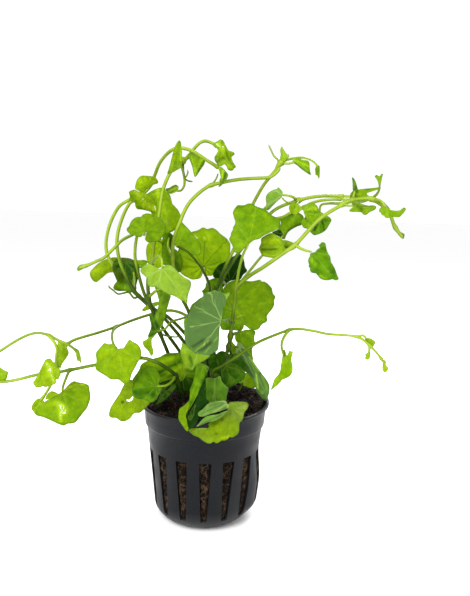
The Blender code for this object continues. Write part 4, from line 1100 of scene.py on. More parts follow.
def young_leaf(stem_name, *placing, **shape):
    """Notes a small leaf that is one piece with its stem."""
    shape = {"tone": (0.78, 0.15), "veins": 5, "pucker": 0.05, "wave": 0.03, **shape}
    leaf("young", stem_name, *placing, **shape)
    STEMS[stem_name]["extras"].append(LEAVES.pop("young"))


def flap(name, middle, lift, outline, **finish):
    """Notes a part of a leaf that is folded over, lift mm in front of its plane."""
    LEAVES[name]["flaps"].append({
        "middle": middle, "lift": lift, "outline": outline, "creases": (), "spots": (), **finish,
    })


def twig(stem_name, at, route, thick=0.8, stalk=0.5):
    """Notes a twig that is one piece with its stem."""
    STEMS[stem_name]["extras"].append({
        "at": at, "route": route, "radius": thick / 2 * MM, "stalk": stalk,
    })


print("the plan is empty")

# %% [markdown]
# Thirteen stems. Those of the left side rise from the plug and arch over, three runners hang
# or creep out to the sides, and the lower left one turns back on itself in a loop. The
# photograph's left edge cuts that loop, so its far end is drawn from how such a runner bends.

# %% Plan of the stems
stem("stem_outer_left", foot=(1.5, 14), tone=0.66, old=0.49, route=[
    (201, 358, 12), (187, 336, 9.5), (168, 317, 7), (157, 311, 6), (148, 305, 5), (134, 292, 6),
    (122, 279, 8), (111, 263, 11), (106, 247, 12), (109, 227, 11), (118, 208, 9), (129, 200, 6),
    (140, 195, 4), (148, 189, 2), (154, 177, 1), (161, 161, -3), (174, 149, -8), (190, 150, -9.5),
    (208, 161, -8), (219, 168, -6)])
stem("stem_second_left", foot=(-0.5, 7.5), old=0.7, route=[
    (196, 362, 4.5), (184, 342, 3), (165, 319, 2), (150, 305, 1), (137, 294, 0), (128, 280, -1),
    (119.5, 260, -2), (117, 240, -2), (121.5, 220, 0), (130, 203, 2), (139, 200, 1)])
stem("stem_third_left", foot=(-4.5, 6), thin=1.2, old=0.82, route=[
    (190, 372, 0), (180, 352, -1), (162, 327, -2), (151, 308, -3), (144, 293, -3), (138, 272, -2),
    (135, 255, 0), (137, 236, 2), (142, 226, 3)])
stem("stem_tall_left", foot=(-10, 0), thin=1.3, old=0.48, route=[
    (176, 375, -4), (168, 353, -5), (160, 333, -5.5), (153, 312, -6.5), (149, 298, -7),
    (148, 280, -8), (152, 262, -8), (154, 242, -8), (159, 215, -8), (163, 190, -7), (170, 173, -7),
    (176, 166, -6), (182, 161, -5), (188, 157, -4), (193, 150, -2.5), (199, 143.5, -2),
    (205, 141, -2), (212, 143, -2), (218, 147, -3)])
stem("shoot_far_left", on=("stem_third_left", (138, 232)), thick=1.3, thin=1.2, route=[
    (124, 239, -3), (117, 245, -5), (105, 257, -6), (97, 261, -6), (88, 265, -6), (79, 268, -6)])
stem("stem_centre_arch", foot=(-0.5, 10.5), route=[
    (200, 345, 5), (193, 322, 2), (187, 308, 0), (182, 298, -2), (176, 282, -5), (173, 262, -6),
    (173, 245, -7), (176, 232, -8.5), (180, 222, -9), (184, 212, -8.5), (190, 202, -8),
    (199, 193, -7), (209, 186, -6), (220, 183, -5.5), (235, 180, -5), (250, 178.5, -4.5),
    (262, 178, -4.5), (270, 177, -5), (277, 172, -5), (280, 167, -5)])
stem("stem_centre_upright", foot=(4, 17), tone=0.58, old=0.6, route=[
    (208, 345, 12), (210, 320, 7), (215, 290, 2.5), (218, 285, 2), (226, 265, -0.5),
    (232, 253, -0.5), (238, 240, 0.5), (246, 221, 2), (253, 204, 3), (263, 186, 1), (270, 177, -1),
    (275, 171, -1.5), (279, 165, -2), (284, 160, -2)])
stem("stem_right_upper", foot=(7, 14), tone=0.62, old=0.62, route=[
    (213, 345, 12), (212, 315, 9), (217, 290, 8), (223, 278, 7), (232, 263, 7), (240, 251, 7),
    (247, 243, 7), (258, 227, 6), (271, 213, 3), (280, 207, 2), (290, 203, 1), (300, 200, 0),
    (310, 197.5, -1), (322, 196, -2), (335, 196, -3), (345, 196, -4)])
stem("stem_right_middle", on=("stem_right_upper", (263, 221)), thick=1.3, thin=1.1, route=[
    (274, 219, 1), (283, 217, -1), (290, 213, -2), (302, 208, -3), (313, 202.5, -5), (325, 200, -6),
    (343, 199, -7)])
stem("stem_right_lower", foot=(6.5, 6), thick=1.7, tone=0.6, route=[
    (222, 370, 2), (229, 345, 0), (232, 322, -1.5), (235, 300, -3), (237, 287, -4),
    (250, 275.5, -6), (262, 268, -8), (275, 259, -9), (285, 252, -9.5), (294, 246, -10),
    (300, 240, -10.5), (308, 231, -11), (318, 220.5, -11), (328, 213, -10.5), (340, 206, -10),
    (350, 201, -10.5), (360, 199, -11), (372, 199, -12), (380, 204, -13), (386, 209, -13.5),
    (391, 217, -14), (395, 227, -14.5), (403, 238, -15)])
stem("runner_right", foot=(3, -4), thick=1.5, thin=0.9, tone=0.68, route=[
    (212, 374, -8), (222, 366, -8), (239, 355, -8), (255, 344, -9), (270, 337, -11),
    (289, 330, -14), (300, 329, -16), (314, 331, -18), (328, 334, -20), (343, 335, -22),
    (358, 337, -24), (368, 344, -25.5), (376, 352, -27), (383, 361, -28)])
stem("runner_left_upper", on=("stem_centre_arch", (191, 318)), thick=1.4, thin=1.1, tone=0.76,
     route=[
    (187, 316, 3), (180, 312.5, 6), (171, 310.5, 8.5), (162, 311.5, 10), (150, 314.5, 9.5),
    (133, 320, 6), (115, 327, 1), (97, 333, -5), (83, 337, -9), (72, 341, -12), (64, 348, -15),
    (57, 360, -17.5), (54, 372, -19), (51, 384, -20), (46, 393, -21), (41, 400, -22)])
stem("runner_left_lower", foot=(-8, -6), thick=1.5, thin=1.0, tone=0.52, route=[
    (180, 386, -12), (175, 375, -14.5), (166, 367.5, -17.5), (155, 361.5, -20), (141, 358, -19),
    (120, 361, -16.5), (95, 365, -15), (70, 370, -14.5), (52, 373, -14), (36, 375, -14),
    (20, 379, -14), (6, 381.5, -14), (-6, 381, -13), (-16, 375, -11), (-18.5, 366, -10),
    (-12, 357.5, -10), (0, 351, -11), (15, 341.5, -13), (28, 335, -16), (38, 333, -19),
    (48, 335, -22), (58, 340, -24), (67, 344, -25), (73, 348, -25), (77.5, 352, -25),
    (79, 357, -25), (80.5, 362, -25)])

print("stems:", len(STEMS))

# %% [markdown]
# The youngest leaves and the thinnest twigs sit at the shoots' tips and nodes. They are one
# piece with their stem, as they grew.

# %% Plan of the young leaves
young_leaf("stem_outer_left", (218, 168), (220.5, 169.5, -6.5), (221, 186, -7), middle=(223.5, 174),
           fold=20, tone=(0.55, 0.1), spots=[(226, 173, 221, 186, 1.3, -0.4),
           (223, 171, 222.5, 178, 0.9, 0.5)], outline=[
    (219, 168), (222, 167.5), (227, 173), (228, 175.5), (225, 181.5), (219.5, 186.8),
    (218.8, 185.8), (220.3, 183), (219.5, 180), (220.8, 177.5), (220, 173)])
young_leaf("stem_tall_left", (180, 163), (175, 190.5, -6), (167, 189, -6),
           petiole=[(183.5, 173, -6), (184.5, 184, -6), (181, 190.5, -6)], tone=(0.7, 0.2),
           stalk=0.35, spots=[(166, 190, 177, 185, 1.1, -0.6), (169, 193, 176, 190, 0.8, -0.4)],
           outline=[
    (166, 188.5), (169, 188), (174.5, 185), (177, 185.3), (178.5, 187), (177, 191), (171, 193.8),
    (168.5, 192), (166.5, 190.3)])
twig("stem_tall_left", (184, 161), stalk=0.3, route=[
    (183.5, 173, -6), (184.3, 178, -6), (186.5, 176, -7), (188, 172, -7), (187, 169.5, -7)])
young_leaf("stem_tall_left", (184, 161), (182.5, 160, -5.5), (188, 157.5, -5), tone=(0.95, 0.2),
           outline=[
    (180.5, 157), (184, 158), (188, 157.5), (187, 160), (183.5, 162), (181, 163.5), (180, 161)])
twig("stem_tall_left", (184, 161), thick=0.9, stalk=0.1, route=[
    (183.5, 173, -6), (184.3, 178, -6), (188.5, 181, -6), (193, 181.5, -6)])
young_leaf("stem_centre_arch", (188, 317), (151, 339, -9.5), (152, 356, -10.5), middle=(149.5, 343),
           petiole=[(180, 319, -7), (171, 322, -8), (165, 329, -8.5), (157, 332, -8.5)], outline=[
    (149, 337.5), (152, 337), (151.6, 341), (152, 346), (153.5, 350), (153.2, 353.3), (151.5, 356),
    (149.3, 353), (147.8, 350.3), (143.8, 346), (143, 341.5), (146, 340)])
young_leaf("stem_centre_arch", (188, 317), (156.5, 331, -9), (151, 315, -9.5), middle=(154.5, 327),
           petiole=[(180, 319, -7), (171, 322, -8), (165, 329, -8.5)], tone=(0.35, 0.0), outline=[
    (149.5, 315), (153, 314), (155.5, 317.5), (158, 321.5), (160, 326), (159.3, 331), (156, 333.5),
    (149.5, 338), (148, 336), (149.3, 332), (151, 328), (151, 324), (149.8, 320)])
twig("stem_centre_arch", (212, 185), route=[
    (216, 179, -5), (218.3, 173, -4)])
young_leaf("stem_centre_upright", (281, 163), (283.5, 158, -2.6), (282, 147, -1.6), fold=20,
           outline=[
    (281.8, 146.5), (283.3, 149), (287.5, 155.5), (288.3, 157.5), (284, 161), (280.3, 159),
    (280.8, 155), (280.3, 150)])
young_leaf("stem_centre_upright", (282, 162.5), (296, 161.5, -4), (309, 173, -6),
           petiole=[(289, 163.5, -3)], fold=14, tone=(0.62, 0.1),
           spots=[(294, 160, 309, 166, 1, 0.35), (295, 163.5, 309, 173, 0.9, -0.4)], outline=[
    (293, 162.5), (293.5, 159), (296, 157.3), (299, 157.8), (302, 159.8), (308.5, 161.2),
    (309.5, 168), (310, 171.5), (311, 174.8), (308.5, 174), (302.5, 170), (296.5, 164.8)])
young_leaf("stem_centre_upright", (283, 161), (317.5, 168, 1), (319, 178, 1),
           petiole=[(290, 159, -0.5), (301, 157.5, 0.5), (310, 159.5, 1), (316, 164, 1)],
           tone=(0.5, 0.1), outline=[
    (315.2, 169.5), (316, 167), (318, 165.5), (319.5, 167), (319.5, 176.5), (318.5, 178.3),
    (317.5, 175.5), (315.5, 174.5), (315.5, 172)])
twig("stem_centre_upright", (279, 165), thick=0.9, route=[
    (278, 160, -1), (274, 156, 0), (271, 150, 0), (268.5, 144.5, 0)])
twig("stem_centre_upright", (284, 160), thick=0.5, route=[
    (287, 158, -2), (289, 156.8, -2), (288.3, 154.3, -2), (286.6, 154.5, -2)])
young_leaf("stem_right_upper", (299, 200), (297, 205, -3.5), (293, 214, -5.5), fold=25, outline=[
    (290, 205), (293, 202.5), (297, 203.5), (300, 206), (303, 209), (300, 211), (297, 214.5),
    (293, 214), (290, 211), (289, 208)])
twig("stem_right_upper", (343, 196), thick=1.2, stalk=0.8, route=[
    (349, 196.5, -4.5), (356, 198, -5.5), (363, 200, -6.5), (368, 200.5, -7.5)])
twig("stem_right_middle", (341, 199), thick=1.1, stalk=0.75, route=[
    (348, 199.5, -7.5), (355, 200.5, -8), (362, 201.5, -8.5)])
young_leaf("stem_right_lower", (353, 200), (355, 190.5, -9.5), (352, 178.5, -9), tone=(0.4, 0.0),
           outline=[
    (352, 177.5), (354.5, 179.5), (356.3, 184), (357.5, 189), (357, 192), (353.5, 191.5),
    (352.8, 188), (352.5, 182)])
young_leaf("stem_right_lower", (353, 200), (355, 195, -9.5), (380, 189, -8), middle=(361, 195),
           tone=(0.72, 0.1), spots=[(353, 193, 357, 198, 2, -0.4),
           (364, 190, 378, 188.5, 0.8, -0.2)], outline=[
    (350.5, 194), (354, 190.5), (363, 189), (375, 187.8), (379.5, 187), (380, 189), (372, 191),
    (366.5, 194), (371.5, 197.5), (370, 200), (362, 202.7), (357, 201.5), (352, 199.5),
    (350.3, 197)])
young_leaf("stem_right_lower", (343, 204), (355, 206, -13), (374, 207.5, -14),
           petiole=[(348, 205.5, -12)], middle=(358, 207), tone=(0.6, 0.15),
           spots=[(353, 203, 362, 209, 2, -0.25), (357, 206.5, 373, 206, 0.8, -0.3)], outline=[
    (352, 204.5), (354.5, 201.5), (358, 202.5), (365, 205), (370, 205.8), (374, 205.5), (376, 207),
    (374.5, 209.8), (369.5, 212), (366, 214.7), (363, 214.3), (360.5, 212), (350, 211.5),
    (351, 208.5), (353.5, 206.8)])
young_leaf("stem_right_lower", (372, 199), (380, 188, -13), (379, 175, -13), middle=(379.6, 180),
           petiole=[(377, 194, -12.5)], tone=(0.5, 0.1), stalk=0.3, outline=[
    (375, 176.8), (376.7, 174.8), (378.5, 176.2), (380.3, 175.8), (381.3, 174), (383, 174.3),
    (382, 177.5), (380.5, 185), (380.3, 189), (379.3, 189), (378, 181.8), (376.5, 178.8)])
young_leaf("stem_right_lower", (395, 227), (397, 231, -14.5), (403, 237, -14.5), tone=(0.45, 0.1),
           outline=[
    (396, 229), (402, 233), (404.3, 234.3), (403.5, 238.5), (401.5, 238), (399.5, 235.5),
    (396.2, 232)])
twig("stem_right_lower", (372, 199), thick=0.6, route=[
    (380, 199.5, -13), (386, 205, -13.5), (390, 209, -14)])
young_leaf("stem_right_lower", (229, 346), (234, 353, 3), (231, 341, 3), petiole=[(233, 357, 3)],
           outline=[
    (227.5, 345.5), (231.3, 340.5), (233.3, 343.3), (235.5, 345.5), (237, 349), (236.5, 356),
    (234, 358), (230.5, 356.5), (229, 351)])
young_leaf("runner_right", (358, 336.5), (367.5, 340, -24.5), (375, 344, -25),
           petiole=[(363, 335.3, -24)], outline=[
    (365, 338.8), (367.5, 338), (371.5, 338.8), (375.3, 342.5), (371.8, 347.5), (370, 346.5),
    (368, 344)])
young_leaf("runner_right", (369, 345), (368.7, 354, -27), (366, 359, -28), outline=[
    (370, 351), (368.3, 352), (365, 354.8), (366.3, 356.3), (364.8, 357.3), (366, 359.2),
    (368, 359.6), (369.6, 358.3), (370.3, 355)])
young_leaf("runner_right", (382, 360), (384.3, 363, -28.3), (386, 372, -28.5), tone=(0.95, 0.5),
           outline=[
    (383.3, 360.5), (385, 360.3), (386, 362), (385.8, 365), (388.5, 369), (385, 372.5),
    (383.5, 371.5), (382.3, 369), (382.5, 365)])
young_leaf("runner_left_upper", (67, 344), (61.5, 346, -18.5), (59, 367, -22), middle=(62, 352),
           fold=-20, outline=[
    (58, 341.5), (60.5, 340.5), (66.5, 344), (66.5, 347), (68.7, 353), (65.5, 359), (62, 364),
    (60.5, 368), (55.5, 363.5), (54.5, 361), (57, 353), (57.5, 348.5)])
young_leaf("runner_left_upper", (42, 399), (39.5, 402, -22.3), (34, 412, -22.5), fold=20, outline=[
    (31.5, 407), (35.5, 400.3), (40, 398.5), (44, 401.5), (42, 404.5), (39, 408), (36, 413.5),
    (33.5, 411.5)])
young_leaf("runner_left_lower", (176, 376), (165.5, 391, -12.5), (157, 405, -13.5),
           petiole=[(170, 383, -12.5)], tone=(0.2, 0.0), stalk=0.3, outline=[
    (163, 388), (168, 385), (174, 384), (176, 387), (171, 393), (166, 398.5), (160, 403.5),
    (157.5, 405.5), (156, 403.5), (158, 400), (160, 396), (161, 391.5)])
young_leaf("runner_left_lower", (77.5, 352), (78.8, 355, -25.5), (79.8, 363, -25.5), outline=[
    (76.5, 352.5), (78.5, 350.5), (80.8, 357), (81, 363.5), (79, 360.5), (77.5, 361.2),
    (76.3, 356)])
young_leaf("runner_left_lower", (-17, 372), (-9, 372, -12), (7, 374, -12), outline=[
    (7.7, 371.7), (7.5, 375), (5, 380.3), (-5, 380.5), (-10, 378), (-12.5, 374), (-12, 369.5),
    (-3, 365.8), (3.3, 369.8)])
twig("stem_second_left", (139, 297), thick=1.0, stalk=0.3, route=[
    (134, 298, 0), (129, 292.5, 1), (124, 293, 2), (118, 294, 2), (113.5, 290.5, 2), (109, 287, 2),
    (109, 285, 2)])
young_leaf("shoot_far_left", (84, 266.5), (83, 266.8, -6), (77.5, 270, -6), tone=(0.5, 0.2),
           outline=[
    (84, 264.8), (85.5, 267), (82, 269.3), (79, 270.8), (77.3, 269.8), (78, 267), (80.5, 265)])
young_leaf("stem_outer_left", (150, 306), (156.5, 303, 4.5), (142, 310.5, 4), middle=(150, 307),
           outline=[
    (158, 301.5), (159, 304.5), (154, 307), (149, 309.5), (144, 311.3), (142, 309.8), (146, 306),
    (151, 303.5)])
twig("stem_right_lower", (232, 322), stalk=0.95, route=[
    (237, 317.5, -3), (241, 315.5, -3), (243, 316.5, -3)])
twig("stem_right_upper", (299, 200), thick=0.9, route=[
    (292, 203, -1), (288, 202.5, -1), (284.5, 200.5, -1), (281.5, 197, -0.5)])
twig("stem_tall_left", (160, 333), route=[
    (167, 336, -7), (176, 337, -7), (182, 336, -7)])

print("young leaves and twigs:", sum(len(plan["extras"]) for plan in STEMS.values()))

# %% [markdown]
# The leaves of the upper plant. Their backs and fronts both show, because the stems arch over
# and turn them every way.

# %% Plan of the upper leaves
leaf("leaf_crest", "stem_outer_left", (151, 184), (148, 186, -3), (140, 176.5, -4), fold=-28,
     bend=-20, tone=(0.9, 0.15), dark_veins=0.8, spots=[(138, 190, 145, 178, 2, 0.1)], outline=[
    (139, 177.5), (142, 175.8), (147, 176), (151, 176.3), (155, 177.2), (157, 179.5), (158.2, 182),
    (157, 183.8), (153.5, 184.3), (151.5, 186), (149.5, 188), (147.5, 188.5), (145, 190.5),
    (143, 193), (140.5, 191.8), (137.5, 190), (135.3, 188.5), (135.5, 185.5), (136.8, 181)])
# its spots paint a shaded lower edge and three glints of wet highlights
leaf("leaf_below_crest", "stem_second_left", (138, 200), (146, 198, -5), (129, 196, -7), fold=-20,
     cup=0.1, tone=(0.9, 0.15), veins=7, dark_veins=0.8, spots=[(131, 196, 140, 207, 2, -0.3),
     (136, 193, 156, 213, 1.5, 0.25), (137, 207.5, 157, 213.5, 1.2, -0.4),
     (144, 199, 145, 201, 0.9, 1.0), (155, 207, 155.6, 209, 0.9, 1.1),
     (135, 192, 135.6, 192.5, 0.8, 1.0)], creases=[(131, 196, 152, 206, 2.2, -0.5)], outline=[
    (129, 192), (131.5, 190.5), (135, 189.8), (138, 191.5), (142, 192.5), (146, 193.8), (150, 195),
    (152.5, 199), (155.5, 204), (158.5, 209), (159.5, 215.5), (157.5, 216.5), (154.5, 213.3),
    (150, 211.5), (145, 210), (141, 209.3), (137.5, 209), (135.5, 206.3), (135.2, 202.8),
    (133, 202.5), (130.8, 200.8), (129, 199.5), (130, 196.5)])
# its spots paint a highlight near the heart and a lit middle
leaf("leaf_left_hanging", "stem_second_left", (139, 200), (160, 191, -3.5), (172, 236, -2),
     petiole=[(150, 196, 0)], fold=-10, bend=-14, tone=(0.64, 0.15), shade=0.08,
     spots=[(158, 191, 158, 196, 2, 0.5), (162, 205, 176, 228, 5, 0.08)], outline=[
    (147, 195), (150, 192), (154, 189.8), (158, 188.3), (163, 187.8), (166, 190.2), (168.5, 192.5),
    (170.3, 196), (171.5, 200.5), (172.5, 204), (175, 207), (178, 210), (179.8, 213.5), (181, 217),
    (180.3, 220), (177.8, 225), (175, 229.5), (170, 232.5), (165, 233), (160, 231), (156, 224),
    (152, 215), (149, 205)])
leaf("leaf_left_wide", "stem_third_left", (141, 227), (144.5, 231, -14), (149, 212, -11),
     middle=(147, 230), petiole=[(144, 235, -5)], fold=-8, tone=(0.6, 0.15), dark_veins=1, outline=[
    (145.2, 231.3), (142.6, 232.5), (141.6, 235), (141, 236.8), (139, 237), (136, 236),
    (133, 234.6), (130.8, 234.4), (128.8, 232.8), (127, 230.5), (127.3, 228), (129, 226.5),
    (130.5, 223), (132.5, 220), (135, 218), (138, 217), (141, 217), (143, 214.8), (147, 213.5),
    (152, 214.5), (157, 216.5), (160.5, 218.8), (163.3, 221.5), (165.5, 225), (166, 229),
    (164.5, 233), (162, 237), (160, 240), (157, 241.6), (152, 242), (148.5, 242.3), (146, 240.6),
    (145, 238.5), (146, 236.5), (147, 234.3), (146.3, 232)])
leaf("leaf_left_inner", "stem_tall_left", (154, 240), (163, 246, 4), (152, 268, 4),
     petiole=[(161, 242, -1)], tone=(1.0, 0.2), shade=-0.06, dark_veins=True, outline=[
    (147, 246), (149, 243), (152, 241), (157, 239.5), (162, 239.5), (166, 241.5), (168.5, 245),
    (169, 249), (168, 255), (165, 262), (160, 267.5), (153, 267.5), (148, 263), (146.7, 257),
    (146.3, 251)])
leaf("leaf_hooked", "stem_tall_left", (152.5, 264), (162, 269, -15.5), (188, 301, -16.5),
     middle=(162, 271), petiole=[(155, 258, -11), (159, 256, -13.5), (162, 261, -15.5)], fold=-6,
     tone=(0.76, 0.15), underside=0.6, veins=7, outline=[
    (140.5, 270.5), (142.5, 267.3), (146, 264.5), (150, 264.3), (153, 266), (156, 267.7),
    (160, 269), (162.5, 267), (165.5, 265.3), (169, 265), (172, 266.3), (176, 270), (180, 274),
    (185, 278), (188.3, 279.5), (190.6, 281.8), (190.8, 285), (190, 289), (188.5, 293),
    (187.5, 298), (187.3, 302), (186, 303.6), (184, 301.3), (180, 299.5), (176, 297),
    (172.5, 295.4), (169.5, 294.6), (165, 292), (160, 289), (156, 286.7), (152, 287), (149.5, 286),
    (148, 284.4), (147.5, 281.5), (147.6, 279), (145, 276), (142, 273.3)])
leaf("leaf_narrow_hanging", "stem_tall_left", (149, 297), (165, 288, -10), (152, 338, -12),
     middle=(165, 295), petiole=[(156, 291, -9)], turn=35, fold=-12, bend=-24, tone=(0.44, 0.1),
     veins=7, outline=[
    (155, 287), (160, 289), (166, 292.5), (170.5, 295.5), (169.3, 301), (168, 306), (166.5, 310.5),
    (165.8, 315), (164, 320.5), (162.5, 326), (160.8, 328), (159, 325), (156.5, 321), (154.7, 317),
    (155.8, 313), (157.5, 309), (158.7, 305), (159, 301), (158, 296.5), (156.5, 291.5)])
leaf("leaf_far_left", "stem_outer_left", (124, 281), (118, 264, 13.5), (93, 279, 11),
     petiole=[(122, 272, 13)], fold=-14, bend=-16, tone=(0.68, 0.3), veins=5, dark_veins=True,
     spots=[(92, 272, 98, 270, 2, 0.3)], outline=[
    (90, 274.5), (90.8, 271), (93, 268.5), (95.5, 266), (98.5, 263.3), (103, 260.5), (108, 258.8),
    (112, 257.7), (117, 257.5), (121.5, 258.5), (122, 263), (117.5, 269), (113.5, 272),
    (109.5, 272.5), (106, 274.3), (102, 277.5), (99, 280.5), (96.5, 282.2), (94, 281.3),
    (91.5, 278.5)])
# its low tone and its dark spot paint the shadow in the cup of the blade
leaf("leaf_left_shaded", "stem_second_left", (133, 288), (126, 262, 6), (124, 292, 4.5),
     middle=(132, 268), petiole=[(134, 274, 5), (130, 262, 6.5)], fold=14, tone=(0.16, 0.1),
     shade=0.16, spots=[(116, 268, 130, 272, 8, -0.3), (116, 284, 126, 289, 4, 0.3)], outline=[
    (113.5, 262), (116, 259), (121, 257.7), (127, 258), (132, 259.3), (136, 262), (138.5, 266),
    (139.5, 271), (138.5, 276), (137.3, 281), (136.3, 285.5), (136.5, 289), (134, 291.5),
    (130, 292.5), (126, 291), (122, 291), (118, 290.8), (114.5, 289.5), (113.3, 287), (115, 283.5),
    (117, 281.3), (116, 278.5), (114.8, 275.5), (113.3, 272), (112.5, 267)])
leaf("leaf_top_folded", "stem_tall_left", (181, 162), (177, 166, -10), (180, 141, -13), turn=10,
     fold=20, tone=(0.62, 0.1), veins=5, spots=[(177, 143, 171, 170, 1.5, 0.25),
     (181, 148, 181, 160, 1, 0.4)], outline=[
    (179.5, 140.5), (181, 143), (181.3, 147), (182, 152), (182, 157), (181.8, 162), (180.5, 167.5),
    (177, 169.8), (173.5, 172), (170.5, 173), (168.5, 174.3), (167.5, 173), (168.5, 170),
    (170, 165), (171.5, 159), (173, 153), (174.5, 148), (176, 144.5), (177.5, 142)])
# its spots paint a lit middle, a highlight, and shaded margins
leaf("leaf_top_triangle", "stem_tall_left", (188, 157), (191, 154.5, -6), (194.5, 177, -7), turn=-8,
     fold=12, tone=(0.7, 0.1), veins=5, spots=[(190, 153, 204, 159, 1.5, -0.3),
     (192, 158, 196, 175, 2, 0.15), (204.5, 160, 196, 176, 0.8, -0.45),
     (190.5, 160, 194.3, 174, 0.7, -0.35), (201, 160.5, 204, 158.5, 1, 0.5)], outline=[
    (188, 154.5), (190.3, 152.5), (193, 151.8), (196, 152.5), (199, 155), (202, 157),
    (204.5, 158.5), (205, 161), (204, 164.5), (201, 169), (198, 173.5), (195.5, 176.8),
    (194, 175.5), (193.3, 172), (192.5, 168), (191, 163), (189.3, 159)])
# its spots paint lit and shaded folds and two glints of wet highlights
leaf("leaf_top_crumpled", "stem_tall_left", (216, 146), (220, 147, -6), (232, 169, -8),
     middle=(222, 150), fold=-14, cup=-0.1, tone=(0.62, 0.2), pucker=0.09, wave=0.08,
     creases=[(219, 143, 226, 160, 1.8, 0.7), (216, 158, 232, 160, 1.5, -0.6),
     (226, 163, 233, 168, 1.5, 0.6)], spots=[(220, 143, 224, 152, 1.6, 0.3),
     (216, 162, 224, 158, 1.6, -0.3), (228, 165, 233, 168, 1.3, 0.4),
     (217, 144, 219.5, 146, 1.0, 1.1), (223, 147, 223.6, 149, 0.9, 1.1),
     (226, 152, 229, 160, 1.1, -0.3)], outline=[
    (218, 141), (220, 139.7), (222.5, 140.2), (224.5, 143), (226.5, 147.5), (228.5, 150.5),
    (231.5, 151.5), (234, 152.5), (234.3, 154.5), (232.5, 155.8), (231.3, 157.5), (232.5, 161),
    (234.5, 164.5), (235.8, 166.8), (234, 168.3), (232.5, 170.3), (230, 170.5), (227.8, 169.5),
    (226.8, 166.5), (225, 164.3), (223.3, 164.5), (221.5, 166), (219, 166), (217, 163.5),
    (215, 160.5), (214.5, 157.5), (216, 155), (217.5, 152.5), (218, 149.5), (215.5, 147),
    (213.5, 144), (215.5, 142.3)])
# its spots paint a lit lower patch, a shaded patch, a highlight and two glints of wet highlights
leaf("leaf_centre_sunlit", "stem_centre_upright", (214, 295), (203, 267, 1.5), (206, 228, 7),
     middle=(204, 265), petiole=[(209, 285, 0.5)], turn=6, cup=-0.04, tone=(0.84, 0.1), veins=11,
     dark_veins=2, spots=[(180, 262, 205, 275, 9, 0.16), (206, 232, 209, 240, 1.5, 0.3),
     (212, 262, 226, 252, 4, -0.08), (195, 236, 197, 238, 0.9, 0.9),
     (204, 237.5, 205, 239, 0.9, 0.9)], outline=[
    (188, 236), (192, 232), (196, 231), (199.5, 229.5), (202, 227.8), (204.5, 227.8), (206.5, 229),
    (209, 228.8), (211.5, 228), (214.5, 228.8), (217.5, 231), (220, 233.5), (223, 235.8),
    (226, 238), (228.5, 241), (230, 243.5), (230.3, 247), (230, 252), (229, 256.5), (227.5, 260),
    (223, 262.6), (219, 264.5), (216, 268), (213.5, 272), (212, 275.5), (209, 275.7), (206.6, 275),
    (205.8, 270), (203.8, 267), (202.8, 272), (201.5, 276.5), (199, 278.5), (195, 279.3),
    (191.5, 279.3), (188, 277.5), (184, 275.5), (180.5, 272.5), (178, 268), (177, 262), (177, 255),
    (180, 247)])
leaf("leaf_centre_upper", None, (2.5, 2.5), (177, 246.5, -5), (198, 236, -4), middle=(178, 246),
     petiole=[(206, 340, -1), (210, 291, -3), (203, 271, -5), (197, 262, -6), (191, 255, -6),
     (184, 249.5, -6)], fold=-8, tone=(0.74, 0.0), pucker=0.02, stalk=0.12, outline=[
    (180.8, 221.5), (183.5, 224), (187, 227.5), (190, 230.8), (193, 234.5), (195.5, 237.5),
    (198, 240), (200.5, 244), (201, 249), (201, 253), (198.5, 255.3), (195, 255), (191.5, 254.8),
    (188.5, 253), (184, 250), (180, 248.3), (176.3, 247), (174.7, 244), (174, 240), (174.5, 235),
    (175.8, 230), (178, 224.5)])
leaf("leaf_left_scrap", "stem_centre_arch", (173, 258), (169, 237, 1), (177, 271, 0),
     middle=(165, 243), petiole=[(168, 247, -1)], fold=16, tone=(0.5, 0.1), veins=7,
     dark_veins=True, spots=[(170, 235, 172, 246, 2.5, -0.35), (172, 257, 179, 270, 3, -0.25)],
     outline=[
    (163, 234.5), (166, 232.6), (169, 232.5), (172, 234.5), (174, 238), (174.5, 243), (174, 248),
    (177, 250.5), (180.5, 254.5), (182.3, 259), (182.3, 265), (181, 270), (178.5, 272.3),
    (175, 270), (171, 266), (167, 265), (163, 264), (161.5, 256), (162, 248), (162.5, 241)])
leaf("leaf_upper_light", "stem_right_upper", (298, 201), (282, 195, 0), (266, 208, 2),
     middle=(279, 196), petiole=[(293, 197, -1), (288, 195.5, -1)], turn=10, tone=(0.74, 0),
     underside=True, veins=5, outline=[
    (278.5, 187.3), (280.3, 189.3), (282.3, 191.5), (282.6, 194.5), (281.3, 197.3), (278, 200.5),
    (273, 205.5), (268.5, 210), (265.5, 209.5), (263.3, 208.2), (265, 206.5), (266.5, 204),
    (266, 200), (266.2, 196.5), (267.5, 194), (270.5, 191.5), (274, 189.8), (277, 188.8)])
leaf("leaf_right_broad", "stem_right_lower", (237, 287), (249, 243, -9), (256, 204, -4),
     middle=(249, 241), petiole=[(239, 270, -6.5), (243, 255, -8.5)], cup=-0.05, tone=(0.64, 0.05),
     spots=[(242, 244, 247, 250, 3, 0.2)], outline=[
    (238, 205.3), (241, 205.5), (244.5, 205.3), (247, 204), (250, 203.6), (253, 204.3),
    (255.5, 206), (259, 207.5), (263, 208.7), (266.5, 210.5), (269, 213), (272, 215.5), (275, 217),
    (278.5, 218.5), (280, 221), (280.3, 224), (280, 227), (277.5, 229), (273, 231), (268, 233.5),
    (263, 236), (260, 238.3), (256.5, 239.2), (253.5, 240.3), (251, 242.3), (247, 245.5),
    (243, 249), (240.5, 251.5), (237, 252.7), (234, 251.5), (233.3, 248), (232.3, 245),
    (230.3, 241.5), (229.3, 239), (230.8, 236), (231.5, 232.5), (233, 230), (233.3, 227.5),
    (235, 224.5), (235.3, 221.5), (234, 217.5), (233, 214), (233.3, 211.3), (235, 208.3)])
